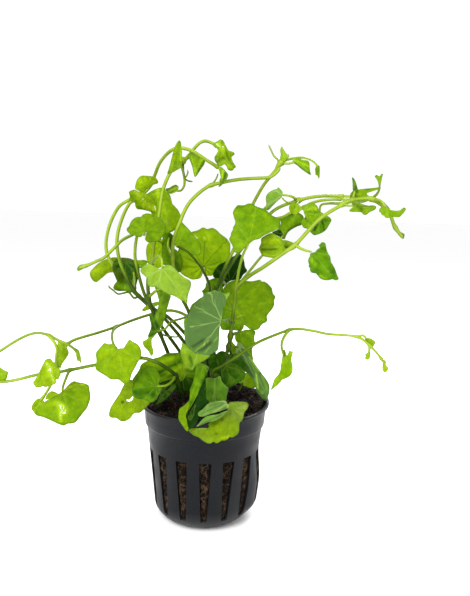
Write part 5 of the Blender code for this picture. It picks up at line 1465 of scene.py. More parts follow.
leaf("leaf_right_dark", "stem_right_lower", (240, 284), (284, 235, 5), (297, 213, 2),
     middle=(288, 228), petiole=[(244, 278, -3.5), (252, 268, 0), (262, 256, 3), (275, 243, 5)],
     tone=(0.52, 0.1), veins=7, spots=[(284, 229, 296, 216, 3, 0.2),
     (283.5, 239, 289, 230, 1.1, -0.35), (278, 218, 296, 213, 1.2, -0.25),
     (291, 229, 302, 223, 1, -0.3)], outline=[
    (277, 217.3), (281, 217), (284, 216.3), (287, 214.3), (290, 212.3), (295, 212), (300, 213.5),
    (303.5, 217), (303, 221), (301.5, 224.8), (298, 226), (294, 228), (290, 230.5), (287.5, 233),
    (285.8, 236), (284.3, 239.3), (281.5, 237), (277, 235), (272.5, 232.5), (277, 230), (280, 227),
    (281, 222)])
leaf("leaf_right_bright", "stem_right_middle", (303, 207.5), (305, 212, -7), (323, 217, -8),
     middle=(309, 215), fold=-14, tone=(0.66, 0.1), veins=7, spots=[(306, 212, 320, 212, 1, -0.25),
     (305, 218, 312, 224, 1, -0.3), (308, 209, 316, 208, 2, 0.2)], outline=[
    (303, 207.3), (305.5, 205.8), (307.5, 204), (310.5, 203.2), (313.5, 203.3), (316, 205),
    (317.8, 207.5), (318.7, 210), (320.3, 211.8), (323.8, 214.2), (321, 217.3), (316, 221.5),
    (311.5, 226), (309.3, 229), (306.5, 228.3), (304, 227.8), (302.3, 225.3), (301, 221.5),
    (304, 218.5), (305.3, 216.3), (304, 213), (303.5, 210)])
leaf("leaf_right_shaded", "stem_right_lower", (344, 204), (320, 218, 3), (318, 234, 3),
     middle=(322, 220), petiole=[(337, 203.5, -7), (328, 203.5, -3), (320.5, 206, 1)],
     tone=(0.56, 0), veins=7, spots=[(320, 218, 314, 231, 0.9, -0.3),
     (322, 219, 324, 230, 0.9, -0.25)], outline=[
    (327, 216), (329.5, 217.3), (331.3, 219.8), (330.3, 222.3), (328.8, 225), (327, 228.3),
    (324.5, 231), (321.5, 232.8), (318, 234.3), (314.5, 235), (312, 233.5), (310.3, 231),
    (312, 227), (316, 222), (321, 218), (324, 216.3)])
# its spots paint the shade in its crease and two highlights
leaf("leaf_right_node", "stem_right_lower", (292, 247.5), (284, 246, -7), (261, 249, -5), fold=10,
     cup=-0.08, tone=(0.66, 0.2), veins=7, pucker=0.05,
     creases=[(262, 249.5, 278, 249.5, 1.2, -0.5)], spots=[(262, 249.5, 276, 249.5, 1.2, -0.4),
     (264, 242, 279, 240, 2, 0.25), (263, 254.5, 279, 256, 1.2, 0.3)], stalk=0.2, outline=[
    (261.5, 238.3), (264.5, 236.3), (268, 234.3), (272, 233.2), (276, 235), (280, 237.5),
    (283, 240.3), (285.5, 244), (287.5, 248), (285, 252), (280, 255.8), (275, 257.6), (270, 257.3),
    (266, 256.7), (262.7, 255.8), (261.3, 253.5), (260, 251), (259.2, 248.8), (260, 246),
    (261.3, 243.3), (261.3, 240.5)])
leaf("leaf_right_hanging", "stem_right_lower", (295, 246), (312, 252, -12), (335, 280, -14),
     middle=(322, 251), petiole=[(303, 249.5, -11.5)], fold=-10, tone=(0.47, 0.0),
     spots=[(312, 260, 315, 264, 2, 0.25), (320, 276, 326, 279, 1.5, 0.3)], outline=[
    (310.5, 253.5), (313, 252.7), (315.5, 251.8), (317, 249.8), (319, 248.5), (320.3, 247),
    (319.3, 245.8), (318.5, 244.7), (320, 244.8), (321, 243), (323, 242.3), (325, 243.3),
    (325.8, 246), (326.3, 249), (327.3, 252), (328.7, 254.5), (330, 256.5), (330.5, 259.5),
    (331.3, 263), (333.3, 265.8), (334.8, 268.5), (336, 272), (337.3, 275.5), (338.5, 278.3),
    (337.5, 279.8), (335, 280), (332.5, 279), (329.5, 279.7), (326, 280), (322.5, 279.3),
    (319.8, 277.8), (318, 275.5), (316.3, 273.5), (314, 272.8), (311.5, 272.3), (310.3, 270.5),
    (310, 267.8), (308.8, 266.3), (309.3, 264.3), (308.5, 262), (308.3, 260), (309, 258),
    (310, 256.3)])
leaf("leaf_far_right", "stem_right_lower", (374, 200), (386, 208, -17), (404, 210, -18),
     middle=(395, 215), petiole=[(381, 201, -15)], bend=16, tone=(0.66, 0.1), veins=5, outline=[
    (380, 208.3), (383, 207), (387, 207), (389, 208.8), (391.5, 210.3), (396, 210.8), (400, 210.3),
    (402.5, 208.5), (404, 207.5), (405.7, 209.3), (404, 212.3), (401, 215.5), (399, 217),
    (395, 217), (391.5, 216.8), (389, 217.8), (386, 217.8), (384.5, 216), (382.3, 215),
    (380.7, 212.5), (379.3, 211.5)])

print("leaves so far:", len(LEAVES))

# %% [markdown]
# Many blades are folded over somewhere. A flap is drawn like a blade on its leaf's own plane,
# a little in front of it or, with a lift below 0, behind it, and is one piece with it. The
# darkest flaps are painted shade, dark sheets where a fold lies in shadow, and a pale one
# paints the highlight along a fold.

# %% Flaps of the upper leaves
# this dark flap is painted shade: the shadow in the cup of the blade
flap("leaf_left_shaded", (125, 267), 0.35, tone=(0.12, 0.0), outline=[
    (114, 265), (117.5, 261.5), (122, 259.3), (127, 259), (131, 260.5), (134, 264.5),
    (135.5, 269.5), (134, 274.5), (130.5, 279.5), (127, 280.5), (124, 276), (120, 271.5),
    (116, 268.5)])
flap("leaf_left_shaded", (141, 264), -0.3, tone=(0.66, 0.1), outline=[
    (135, 261), (140, 260.3), (145, 260.2), (147.5, 262), (145, 265), (141, 268), (136.5, 267)])
flap("leaf_upper_light", (274, 204), 0.3, tone=(0.5, 0.0), outline=[
    (280.5, 197.5), (277, 201.5), (272, 206.5), (268.8, 209.8), (267.3, 208.3), (269.5, 204.5),
    (272, 202.5), (276, 200.3)])
# this nearly black flap is painted shade in a fold
flap("leaf_right_dark", (279, 234), 0.3, tone=(0.02, 0.0), outline=[
    (272.3, 232.5), (276, 231), (280, 230.3), (282, 232.5), (283.3, 239), (279.5, 236.5)])
flap("leaf_right_node", (289, 245), -0.3, tone=(0.5, 0.3), outline=[
    (283, 240.5), (287, 240.5), (294.5, 243.7), (293, 246.3), (288, 249.7), (285.5, 248.5),
    (284, 245)])
print("flaps so far:", sum(len(plan["flaps"]) for plan in LEAVES.values()))

# %% [markdown]
# The leaves over and in the pot, and those on the runners. One at the front hangs over the
# pot's lip, one on the left has a hole and a dark spot, and one behind is turning yellow.

# %% Plan of the lower leaves
leaf("leaf_runner_right", "runner_right", (289, 330.5), (284.5, 357, -15), (272, 391, -16),
     middle=(288, 365), petiole=[(284, 337, -14.5), (281.6, 344, -15), (282.4, 351, -15)], turn=25,
     fold=16, tone=(0.72, 0.1), veins=5, outline=[
    (282.7, 351), (284.5, 349.7), (286, 352.5), (287, 355.5), (288.5, 352.5), (289.3, 350.5),
    (291, 351.5), (293, 351.5), (292, 355.5), (291.3, 360), (292.3, 365), (292.7, 370),
    (291.3, 374), (289, 376.5), (286, 378.3), (282.5, 379.5), (280, 382.5), (276.5, 386),
    (273, 388.7), (270.5, 390), (272, 386), (273.3, 382), (274.8, 378.5), (278, 375), (280, 371),
    (281, 365), (282, 359), (282.5, 355)])
# its spots paint lit patches and shaded edges
leaf("leaf_runner_cluster", "runner_left_lower", (49, 335.5), (57, 368, -25), (35, 386, -27),
     middle=(50, 373), petiole=[(54, 342, -25.5), (57, 349, -26), (56, 358, -26)], fold=-12,
     tone=(0.78, 0.2), veins=7, pucker=0.06, spots=[(50, 371, 54, 380, 2.6, 0.55),
     (47, 364, 50, 369, 1.8, 0.6), (54, 375, 57, 380, 1.2, -0.35), (44, 364, 38, 384, 1.2, -0.15)],
     outline=[
    (47.5, 359), (50.5, 358.7), (52.5, 361.5), (55, 363.5), (57.5, 366), (59.5, 368.5), (60.3, 372),
    (60.5, 374.5), (59, 377), (58.3, 379.3), (55.5, 379.3), (56.7, 381.5), (55.3, 383.5), (52, 385),
    (49, 385.7), (46, 387), (43, 386.2), (40, 387.2), (36.5, 387.3), (34.3, 385), (33.2, 382.5),
    (35, 379.5), (37.5, 375.5), (39.5, 371.5), (41.5, 367.3), (43.5, 363.5), (45, 360.5)])
leaf("leaf_runner_low", "runner_left_lower", (70, 370), (62, 392, -24), (74, 424, -26),
     middle=(62, 394), petiole=[(66.5, 377, -19), (63.5, 385, -22)], fold=-8, tone=(0.7, 0.1),
     spots=[(57, 403, 64, 410, 3.5, 0.5), (62, 408, 64, 412, 2.2, 0.7),
     (60, 414, 61, 420, 1.8, 0.6), (76, 384, 84, 384.5, 0.9, 0.5)], outline=[
    (62.3, 391.3), (65, 388.8), (68, 385.5), (71, 382.5), (74.5, 381.2), (78, 382.3), (82, 382.8),
    (86, 384), (88.5, 385.3), (89.2, 389), (90, 394), (89.8, 400), (88.2, 404.5), (86.8, 408),
    (84, 411.5), (81, 415.3), (78, 419.3), (75, 422.5), (71, 423.5), (67.5, 423.7), (64, 425.5),
    (60, 424.5), (55, 422.3), (49, 419.5), (43, 417), (38, 415.8), (35, 413.5), (36, 410),
    (40, 405.5), (45, 401.5), (51, 398.5), (57, 395)])
leaf("leaf_runner_heart", "runner_left_upper", (117, 326.5), (117.5, 349, -20), (126, 384, -25.5),
     middle=(120, 354), petiole=[(113, 331, -3), (112, 338, -12), (114, 345, -17.5)],
     tone=(0.76, 0.1), veins=7, outline=[
    (112.5, 344), (109, 344.3), (106, 343.3), (104, 343.3), (102, 345.5), (99, 349), (96.5, 352),
    (96, 355.5), (96.5, 359), (96.3, 363), (95.5, 366), (96, 369), (98.5, 371.5), (102, 373.5),
    (106, 376), (110, 378.8), (114, 379.5), (118, 379.3), (120.5, 380.8), (123, 383), (125, 384.3),
    (127.5, 383.8), (129.5, 381), (130.5, 378), (132, 373), (135, 367.5), (138, 361.5),
    (140.3, 358), (141.3, 354), (140.8, 350), (139.3, 346.5), (137, 344), (134, 342.5),
    (131.5, 341), (129, 339.5), (127.5, 342.5), (125, 346), (123, 348.3), (120, 348.3), (117, 349),
    (115, 347)])
leaf("leaf_left_low_holed", None, (-13, -4), (140, 385, -16), (115, 420, -19), middle=(139, 387),
     petiole=[(163, 393, -9), (151, 388, -13)], fold=-6, tone=(0.72, 0.25), dark_veins=True,
     spots=[(122.5, 401.7, 122.8, 402.3, 1.0, -1.6)], outline=[
    (124, 385), (122, 388.5), (120, 393), (117, 397.5), (114, 402), (111.5, 406), (109.8, 410),
    (109, 413.5), (109.5, 416.5), (112, 417.8), (116, 417.8), (118.5, 419.5), (121, 421),
    (124.5, 421.2), (128, 419.8), (131, 417.5), (133, 414.5), (135.5, 412.8), (139, 412.9),
    (142, 411.2), (144.5, 408.5), (147, 406), (150, 402.5), (150, 398), (146, 390), (139, 384.5),
    (132, 380), (127, 382)])
leaf("leaf_left_low_round", "runner_left_lower", (175, 375), (156, 386.5, -21), (133, 388, -25),
     petiole=[(172.5, 381, -17), (166, 385.5, -20)], turn=24, cup=-0.1, tone=(0.52, 0.0),
     spots=[(140, 374, 155, 374, 6, 0.1), (136, 394, 156, 396, 4, -0.15)], stalk=0.95, outline=[
    (158.5, 383.5), (159.7, 379), (159, 374), (156.5, 369.5), (152, 366.5), (147, 366.5),
    (143, 369), (140.5, 373), (137, 377.5), (134.5, 381.5), (132.8, 386), (132.3, 390),
    (133.3, 394.5), (135.3, 397.3), (138, 398.8), (142, 399), (146, 400.3), (150, 402.3),
    (153.5, 401.3), (156.5, 399), (158.5, 395.5), (160.5, 391), (162, 388)])
leaf("leaf_left_low_striped", None, (-7, -2), (182, 373, -8.5), (151, 361, -11.5),
     petiole=[(187, 388, -5)], fold=-8, tone=(0.66, 0.05), spots=[(150, 366, 172, 358, 2.5, 0.25),
     (156, 374, 180, 362, 1.5, -0.35), (160, 379, 182, 366, 1.5, 0.2),
     (158, 355.5, 182, 354, 1.4, -0.25), (150, 373, 176, 377, 3, -0.2)],
     creases=[(156, 374, 182, 360, 2, -0.5)], outline=[
    (141, 365), (143.5, 362.8), (147, 361), (151, 359.5), (155.5, 358), (160, 356.8), (164, 354.5),
    (168, 353.3), (173, 353), (178.5, 352.8), (181, 354.5), (182, 358.5), (183.5, 362.5),
    (185.5, 367.5), (186.3, 373), (184, 379), (179, 381.5), (173.5, 379), (168, 380), (163, 381),
    (156, 384), (146, 386), (138, 386), (133, 384), (132.5, 380), (134.5, 376.5), (137.5, 372.5),
    (139.5, 369)])
leaf("leaf_front_tall", None, (-2, -8), (203, 366, -14), (188, 431, -34), middle=(205, 372),
     petiole=[(204, 385, -10)], turn=-18, fold=12, bend=-34, tone=(0.54, 0), veins=7,
     spots=[(203, 367, 190, 398, 1.5, 0.15), (208, 368, 199, 392, 1.2, -0.2)], outline=[
    (196.5, 366), (200, 363.5), (204, 364.3), (209, 367.5), (207.8, 371), (205, 377.5),
    (202.5, 383.5), (199.5, 390.5), (196, 397.5), (192.3, 404.5), (188, 411), (184.8, 416),
    (183, 413), (186, 407), (189.5, 400), (190, 394), (190.3, 389), (193, 382.5), (194.8, 376),
    (195.7, 370.5)])
leaf("leaf_front_upright", None, (4.5, -9), (215, 374, -13.5), (214, 405, -18), middle=(215, 381),
     petiole=[(216, 388, -11.5)], bend=-16, tone=(0.46, 0), veins=7, underside=0.25, outline=[
    (205.5, 379), (209, 377.5), (213, 378.5), (217, 377.5), (220, 375.8), (221, 378.5),
    (221.5, 381), (224, 384), (226.5, 386.3), (228.3, 387.8), (228, 391), (226.8, 395),
    (226.3, 399), (225.3, 402), (222, 404), (216, 405), (210, 406), (206.5, 406), (205.3, 400),
    (205, 392), (205.3, 385)])
leaf("leaf_front_cupped", None, (4, -15), (227, 403.5, -25.5), (196, 426, -36), middle=(220, 409),
     petiole=[(217, 403, -20.5)], fold=-16, bend=-24, tone=(0.5, 0.05), veins=5, underside=True,
     spots=[(200, 414.5, 226, 403, 0.8, -0.3), (204, 416, 225, 408.5, 0.8, -0.25),
     (206, 407, 224, 402, 0.7, -0.2)], outline=[
    (198, 414), (199.5, 411.5), (203, 409), (206.5, 405.5), (209.5, 403.5), (211, 401.8),
    (213, 403), (214, 401.8), (218, 401.3), (222, 400.8), (225.5, 401), (227, 403.5), (229.5, 406),
    (227, 408.5), (222, 410.3), (217, 412), (212, 413.5), (208, 415), (205, 416.3), (201, 416.5),
    (199, 416)])
leaf("leaf_front_rim", None, (12, -10), (231, 408, -21), (191, 437, -32.5), middle=(222, 428),
     turn=21, bend=-50, tone=(0.56, 0.3), dark_veins=True, spots=[(232, 406, 244, 406, 5, 0.2),
     (216, 434, 216.5, 434, 1, -0.5), (222, 420, 222.5, 420, 1, -0.4),
     (196, 432, 210, 436, 3, -0.08), (221, 438, 229, 437, 1.6, 0.4)], outline=[
    (229, 402.8), (233, 402), (238, 401.8), (243, 402), (246.5, 402.5), (248.5, 405),
    (247.5, 408.5), (245.5, 411), (243.8, 414), (243.3, 417.5), (242, 420.5), (239.5, 423),
    (239, 426.5), (239, 430), (238, 433.5), (235.5, 435.5), (232.5, 437.3), (229.5, 436.8),
    (227.5, 439), (225, 440.3), (221.5, 440.5), (219, 442.3), (216, 443), (213.5, 441.5),
    (211.5, 443), (208.5, 443.3), (205.5, 442), (202, 439.8), (198.5, 437), (195, 436),
    (191.5, 433.5), (189, 430.5), (191, 428.8), (195, 428.3), (200, 428.9), (206, 429.5),
    (209, 427), (208.5, 424), (211, 422), (215, 420.5), (220, 418.8), (224, 415.5), (227, 411.5),
    (228.5, 408)])
# its spots paint a shaded upper part, and pale streaks that are partly its veins and partly painted
# highlights
leaf("leaf_right_rim", "stem_right_lower", (229, 347), (239, 347, -1), (266, 399, -2.5),
     middle=(247, 355), fold=-18, bend=-30, tone=(0.32, 0.0), underside=True, veins=7,
     spots=[(240, 356, 250, 374, 4, -0.2), (240, 346, 246, 353, 4, -0.35),
     (249, 357, 259, 371, 0.8, 0.8), (256, 374, 258, 388, 0.8, 0.8), (262, 376, 268, 392, 1.2, 0.3),
     (246, 368, 262, 394, 0.8, 0.25), (243, 352, 258, 374, 0.8, 0.25),
     (252, 366, 266, 394, 0.7, 0.25)], outline=[
    (237, 343.5), (240, 343), (243.5, 346.5), (247, 351), (251, 357), (254.5, 363), (259.5, 370),
    (264, 376.5), (268, 382), (269.5, 387), (269.3, 392), (268, 396.5), (266.3, 400), (264.5, 401),
    (262, 398.3), (259, 395), (256.5, 391), (255, 385.5), (252.5, 380), (249.5, 375), (246, 371),
    (241, 367), (237.5, 363), (236, 357), (236, 350)])
leaf("leaf_right_low_dark", None, (8, -2.5), (226, 366, -5), (234, 388, -8), middle=(226, 367),
     petiole=[(226, 382, -4.5)], bend=-14, tone=(0.36, 0), veins=7, outline=[
    (221, 371), (222, 367.5), (226, 365), (231, 363.5), (236, 363.8), (240, 367), (244, 370.5),
    (245.5, 374), (244, 378), (241, 381), (237, 383.5), (233, 385.5), (229, 387), (226.5, 386.5),
    (224, 384), (222, 379)])
# its dark spots paint the shade in its creases, and its light ones paint highlights on their ridges
leaf("leaf_front_centre", "stem_right_lower", (232.5, 322), (222, 321, -15), (187, 328, -17),
     middle=(218, 319), petiole=[(229, 319.5, -9)], turn=16, cup=0.06, tone=(0.22, 0.0),
     underside=True, spots=[(192, 348, 205, 340, 1.4, -0.7), (200, 351, 212, 343, 1.4, -0.7),
     (216, 322, 190, 336, 1.5, -0.12), (196, 351, 209, 340, 0.9, 0.45),
     (205, 353, 217, 338, 0.9, 0.4), (190, 306, 202, 300, 5, 0.12)],
     creases=[(192, 348, 205, 340, 1.4, -0.8), (200, 351, 212, 343, 1.4, -0.8),
     (196, 351, 209, 341, 1.2, 0.6)], outline=[
    (203.5, 296), (207, 292.8), (211, 292), (216, 291.5), (220, 291.8), (223, 294), (225, 297),
    (226, 301), (224.5, 305.5), (222.5, 310), (222, 315), (221, 321), (219.8, 328), (219.3, 335),
    (219, 342), (218, 349.5), (213.5, 352.5), (209, 355), (203, 354.5), (199, 353.5),
    (195.5, 353.5), (191.5, 350.5), (188, 346), (185.7, 341), (185, 334), (185.7, 327),
    (187.5, 319), (189.5, 312.5), (192, 307.5), (196, 303), (200, 299)])
leaf("leaf_front_lower", None, (-4, -3.5), (200, 344, -10.5), (191, 373, -11), middle=(194, 354),
     petiole=[(203, 372, -6), (204, 352, -8.5)], fold=14, tone=(0.8, 0.0), veins=7,
     spots=[(190, 357, 192.5, 364, 1.2, -0.4), (184, 348, 188, 362, 2, 0.15),
     (194, 353, 206, 352.5, 1, 0.2)], creases=[(190, 356, 192.5, 366, 1.4, -0.5)], underside=0.4,
     outline=[
    (182.5, 342.8), (186, 345), (191, 350), (197, 352), (204, 352), (210, 352.5), (209, 357),
    (205, 360), (201, 362.5), (198, 364), (195, 367), (193, 370), (191, 370.5), (188.5, 369.5),
    (186, 369.3), (184.5, 366), (183, 361.5), (181.3, 356.5), (180.6, 351.5), (181.6, 346.5)])
leaf("leaf_right_round", "stem_right_lower", (230, 338), (234, 308, 5), (275, 302, 8),
     petiole=[(232, 324, 3.5)], turn=-18, cup=-0.04, tone=(0.62, 0.15), veins=11, outline=[
    (229, 306.5), (227.5, 303), (226, 299), (224, 295), (222.8, 291), (224.5, 287), (228, 283.3),
    (232, 281), (238, 280), (244, 280.5), (250, 281.4), (254, 281), (257, 280.3), (260, 279.8),
    (261.8, 281.6), (264.5, 281.8), (267.3, 283.5), (269.8, 286), (271.7, 288.3), (272.3, 291),
    (273, 293.8), (275.2, 296.3), (275, 298.3), (274, 300.5), (274.2, 304), (273.2, 307.3),
    (271, 310.5), (268.5, 313.5), (266.8, 316.5), (267.3, 320), (266, 322.3), (263.3, 323.5),
    (261, 325.3), (259.5, 328), (257, 329.8), (253, 330.2), (249.5, 329), (245.5, 326),
    (241, 322.5), (236, 319), (231.5, 316), (229, 312)])
leaf("leaf_right_round_low", "stem_right_lower", (230.5, 334), (242, 324, 1.5), (222, 322, 2),
     middle=(236, 326), petiole=[(240, 331, 1)], tone=(0.62, 0), veins=7, outline=[
    (220.6, 322.5), (223, 316), (224, 311.5), (228, 309.8), (232, 312), (234.5, 318), (239, 320.5),
    (243.5, 323.5), (243.3, 328.3), (240.5, 330.3), (236, 330.5), (231, 330.2), (226, 330.2),
    (222.5, 329.8), (220.8, 327.5)])
leaf("leaf_right_low", "stem_right_lower", (230.5, 336), (240, 331, 5), (250, 358, 5),
     middle=(241, 333), tone=(0.72, 0), veins=7, outline=[
    (235, 336.5), (236.3, 333.3), (239, 332), (242, 330.8), (247, 329.5), (252, 330),
    (255.5, 331.5), (254.7, 335), (254.2, 339), (255, 343), (253.3, 346.5), (252, 349.3),
    (252.4, 353), (252.8, 357), (253.5, 359.3), (251.5, 359.3), (248.5, 355.5), (246, 351),
    (243.7, 346.5), (240, 343.3), (237.3, 342.5), (235.5, 340)])
# its very dark tone is painted shade: the leaf lies deep in the plant's shadow
leaf("leaf_back_dark", "stem_right_upper", (222, 281), (230, 282, 13), (226, 257, 15),
     middle=(230, 278), petiole=[(227, 285, 11.5)], tone=(-0.6, 0.0), outline=[
    (213, 272.5), (214.5, 268.5), (217, 264.5), (221, 263.3), (224, 261.5), (227, 259.5),
    (231, 257.5), (235, 255.5), (238.5, 253.5), (242, 256), (244, 261), (245, 267), (247, 271),
    (243, 275), (240, 279.5), (235, 280), (230, 281), (226, 284.5), (223, 287), (221.5, 283),
    (219.5, 279.3), (216, 278.8), (213.3, 276.5)])
leaf("leaf_back_small", "stem_right_upper", (214, 303), (220, 299, 12.5), (204, 287, 12.5),
     middle=(219, 297), tone=(0.6, 0.1), veins=7, outline=[
    (208, 281), (211, 279.5), (215, 278.3), (220, 279), (223, 282.5), (223, 289), (222, 297),
    (214, 305), (204, 309), (194, 312), (190.3, 311), (190.3, 307.5), (192.5, 304), (196, 301.3),
    (199.5, 298.5), (203, 296.5), (203.3, 293.5), (202, 291.3), (204, 289.3), (205.7, 287),
    (206, 284)])
leaf("leaf_back_low", None, (10, 9), (222, 376, 7), (215, 353, 7), middle=(216, 369),
     petiole=[(225, 384, 8)], tone=(0.3, 0), veins=7, outline=[
    (213, 360), (215, 356), (218, 352.5), (222, 351), (225.5, 352), (229, 354), (230.5, 357.5),
    (229, 364), (226, 369), (224, 374), (221, 377), (216, 377.3), (211, 376.5), (207.5, 374.5),
    (208, 371), (212, 368), (209.5, 365), (211, 362)])
# its tone above 1 paints light on a blade that lies in shadow
leaf("leaf_yellow_small", None, (14, 5), (243, 382, 4), (249, 372, 3), middle=(246, 381),
     tone=(1.1, 0.0), veins=5, outline=[
    (247, 372), (249.5, 375.5), (252, 378.5), (254.5, 381.5), (255.5, 385.5), (253.5, 388.5),
    (248, 387), (243.5, 385.5), (240, 383), (242.5, 378.5), (245, 374.5)])

print("leaves:", len(LEAVES))

# %% Flaps of the lower leaves
flap("leaf_front_centre", (188, 335), -0.35, tone=(0.66, 0.0), underside=False, outline=[
    (184, 320.5), (187, 317.5), (189, 322), (189, 333), (190, 342), (193, 350), (188, 347.5),
    (185, 340), (184.5, 331)])
flap("leaf_front_tall", (185, 413), 0.2, tone=(0.72, 0.1), outline=[
    (190, 400.5), (186.5, 403.5), (183, 406.5), (179.5, 409.5), (178.7, 418), (180, 421.5),
    (184, 427.5), (186, 430.5), (188.5, 430.5), (187, 425), (184.5, 421), (184.5, 417), (188, 409)])
# this dark flap is painted shade inside the fold of the blade
flap("leaf_front_tall", (197, 408), -0.5, tone=(-0.3, 0.0), outline=[
    (205, 379), (206, 388), (206, 398), (209, 402), (201, 409), (199, 417), (197, 421),
    (192, 427.5), (189, 429), (185.5, 421.5), (186, 415), (192, 409), (199, 394)])
flap("leaf_right_round", (229, 299), -0.3, tone=(0.6, 0.1), outline=[
    (221, 293), (226, 288), (233, 285), (236, 290), (236, 300), (235, 310), (229, 318),
    (221.5, 318), (220, 309), (220.5, 300)])
flap("leaf_front_centre", (220, 301), -0.3, tone=(0.7, 0.0), outline=[
    (213, 291), (219, 292), (225, 294), (230, 292.5), (227, 299), (223, 306), (220, 313),
    (216, 309), (213, 300)])
flap("leaf_left_low_striped", (191, 368), -0.35, tone=(0.5, 0.0), outline=[
    (186, 356), (192, 359), (197, 363), (198, 370), (196, 378), (191, 383), (187, 376), (184, 366)])
flap("leaf_back_low", (208, 362), -0.3, tone=(0.3, 0.0), outline=[
    (203, 352), (209, 349), (214, 352), (214, 360), (213, 370), (209, 378), (204, 376), (202, 366)])
flap("leaf_right_low_dark", (236, 364), -0.4, tone=(0.25, 0.0), outline=[
    (221, 369), (224, 364), (228, 359), (232, 355), (237, 354), (241, 358), (246, 364), (248, 368),
    (247, 372), (243, 371), (236, 368), (230, 368), (224, 370)])
flap("leaf_front_cupped", (216, 417), -0.35, tone=(0.62, 0.0),
     spots=[(200, 425, 222, 414.5, 0.8, -0.35)], outline=[
    (198.3, 424.5), (197, 426.4), (203, 424.3), (208, 422.3), (214, 421), (219, 418.7), (223, 416),
    (226, 413), (227.5, 411), (225, 411.3), (218, 414.3), (208, 416), (203, 419)])
# this dark flap is painted shade under the blade
flap("leaf_left_low_striped", (175, 384), -0.3, tone=(0.1, 0.0), outline=[
    (158, 383), (163, 379.5), (168, 376.5), (174, 375), (181, 375.5), (188, 377), (193, 379.5),
    (192, 386), (188, 390.5), (180, 391.5), (172, 391), (166, 390), (161, 387.5)])
flap("leaf_left_low_striped", (186, 375), -0.35, tone=(0.45, 0.3), outline=[
    (178, 369), (185, 368), (193, 370), (193, 379), (187, 380.5), (180, 380)])
flap("leaf_runner_low", (51, 395), 0.3, tone=(0.9, 0.1), outline=[
    (45.5, 399), (47, 395), (49.5, 392.3), (52.5, 391.3), (58.3, 394), (54, 396.8), (50, 398.8)])
# this pale flap paints the highlight along a fold
flap("leaf_runner_low", (71, 386.5), 0.3, tone=(0.92, 0.1), outline=[
    (63, 391), (66, 388.5), (70, 385.5), (75, 384), (80, 384), (76, 386.3), (70, 389)])
print("flaps:", sum(len(plan["flaps"]) for plan in LEAVES.values()))

# %% [markdown]
# ## Leaf tissue
#
# A cress leaf is thin living tissue under a satin skin of wax. Light comes through it, so the
# material mixes a surface with a translucent part. Its veins are drawn from the numbers that
# each blade carries. Main veins lie at every whole vein number, each forks a third of the way
# out, and the forks fork again: at share s of the way to the margin a fork stands off its
# vein by 0.3 * (s - 0.35) / 0.65 of the space between two veins. Real veins are 0.1 to 0.3 mm
# wide, too fine for this picture, so they are drawn about twice as wide.

# %% Vein pattern
VEIN_WIDTH = 0.12
VEIN_EDGE = 0.36
FORK_FROM, FORK_SPREAD = 0.35, 0.30
TWIG_FROM, TWIG_SPREAD, TWIG_LESS = 0.6, 0.12, 0.03
SPACE_OF_RADIUS = 0.7
SMOOTH = {"interpolation_type": "SMOOTHSTEP"}


def vein_pattern(tree, place, vein, share, radius):
    """From 0 between veins to 1 on the nearest main vein, or on the twigs of its forks."""
    # the veins wander by a tenth of their spacing over some 4 mm
    drift = add(tree, "TexNoise", None, {"Vector": place, "Scale": 1 / (4 * MM), "Detail": 2.0})
    drift = add(tree, "MapRange", None, {0: drift.outputs[0], 1: 0.3, 2: 0.7, 3: -0.1, 4: 0.1})
    drift = add(tree, "Math", {"operation": "MULTIPLY"}, {0: drift.outputs[0], 1: share})
    vein = add(tree, "Math", {"operation": "ADD"}, {0: vein, 1: drift.outputs[0]}).outputs[0]
    off_main = add(tree, "Math", {"operation": "PINGPONG"}, {0: vein, 1: 0.5}).outputs[0]
    off = off_main
    for start, spread in ((FORK_FROM, FORK_SPREAD), (TWIG_FROM, TWIG_SPREAD)):
        fork = add(tree, "MapRange", None, {0: share, 1: start, 2: 1.0, 3: 0.0, 4: spread})
        off = add(tree, "Math", {"operation": "SUBTRACT"}, {0: off, 1: fork.outputs[0]}).outputs[0]
        off = add(tree, "Math", {"operation": "ABSOLUTE"}, {0: off}).outputs[0]
    off = add(tree, "Math", {"operation": "ADD"}, {0: off, 1: TWIG_LESS}).outputs[0]
    nearest = add(tree, "Math", {"operation": "MINIMUM"}, {0: off_main, 1: off}).outputs[0]
    # from vein spaces to millimetres: nine veins stand 0.7 of the radius apart
    off = add(tree, "Math", {"operation": "MULTIPLY"}, {0: nearest, 1: radius}).outputs[0]
    off = add(tree, "Math", {"operation": "MULTIPLY"}, {0: off, 1: SPACE_OF_RADIUS}).outputs[0]
    return add(tree, "MapRange", SMOOTH,
               {0: off, 1: VEIN_WIDTH / 2, 2: VEIN_EDGE, 3: 1.0, 4: 0.0}).outputs[0]


print("veins are drawn", round(VEIN_WIDTH / 2 + VEIN_EDGE, 2), "mm wide")

# %% [markdown]
# Between the finest veins the tissue swells in small cells of some 2 mm. Where a leaf was
# hurt it has pale flecks, and the same flecks paint the glints of wet highlights.

# %% Tissue cells and scars
TISSUE_CELL = 2.4
FLECK_SIZE = 0.7


def tissue_cells(tree, place):
    """From 0 at the edges of the cells to 1 inside them: distances in a warped Voronoi grid."""
    warp = add(tree, "TexNoise", None, {"Vector": place, "Scale": 1 / (1.5 * MM), "Detail": 1.0})
    warped = add(tree, "VectorMath", {"operation": "MULTIPLY_ADD"},
                 {0: warp.outputs["Color"], 1: (0.8 * MM,) * 3, 2: place}).outputs[0]
    cells = add(tree, "TexVoronoi", {"feature": "DISTANCE_TO_EDGE"},
                {"Vector": warped, "Scale": 1 / (TISSUE_CELL * MM)}).outputs["Distance"]
    return add(tree, "MapRange", SMOOTH, {0: cells, 1: 0.0, 2: 0.16, 3: 0.0, 4: 1.0}).outputs[0]


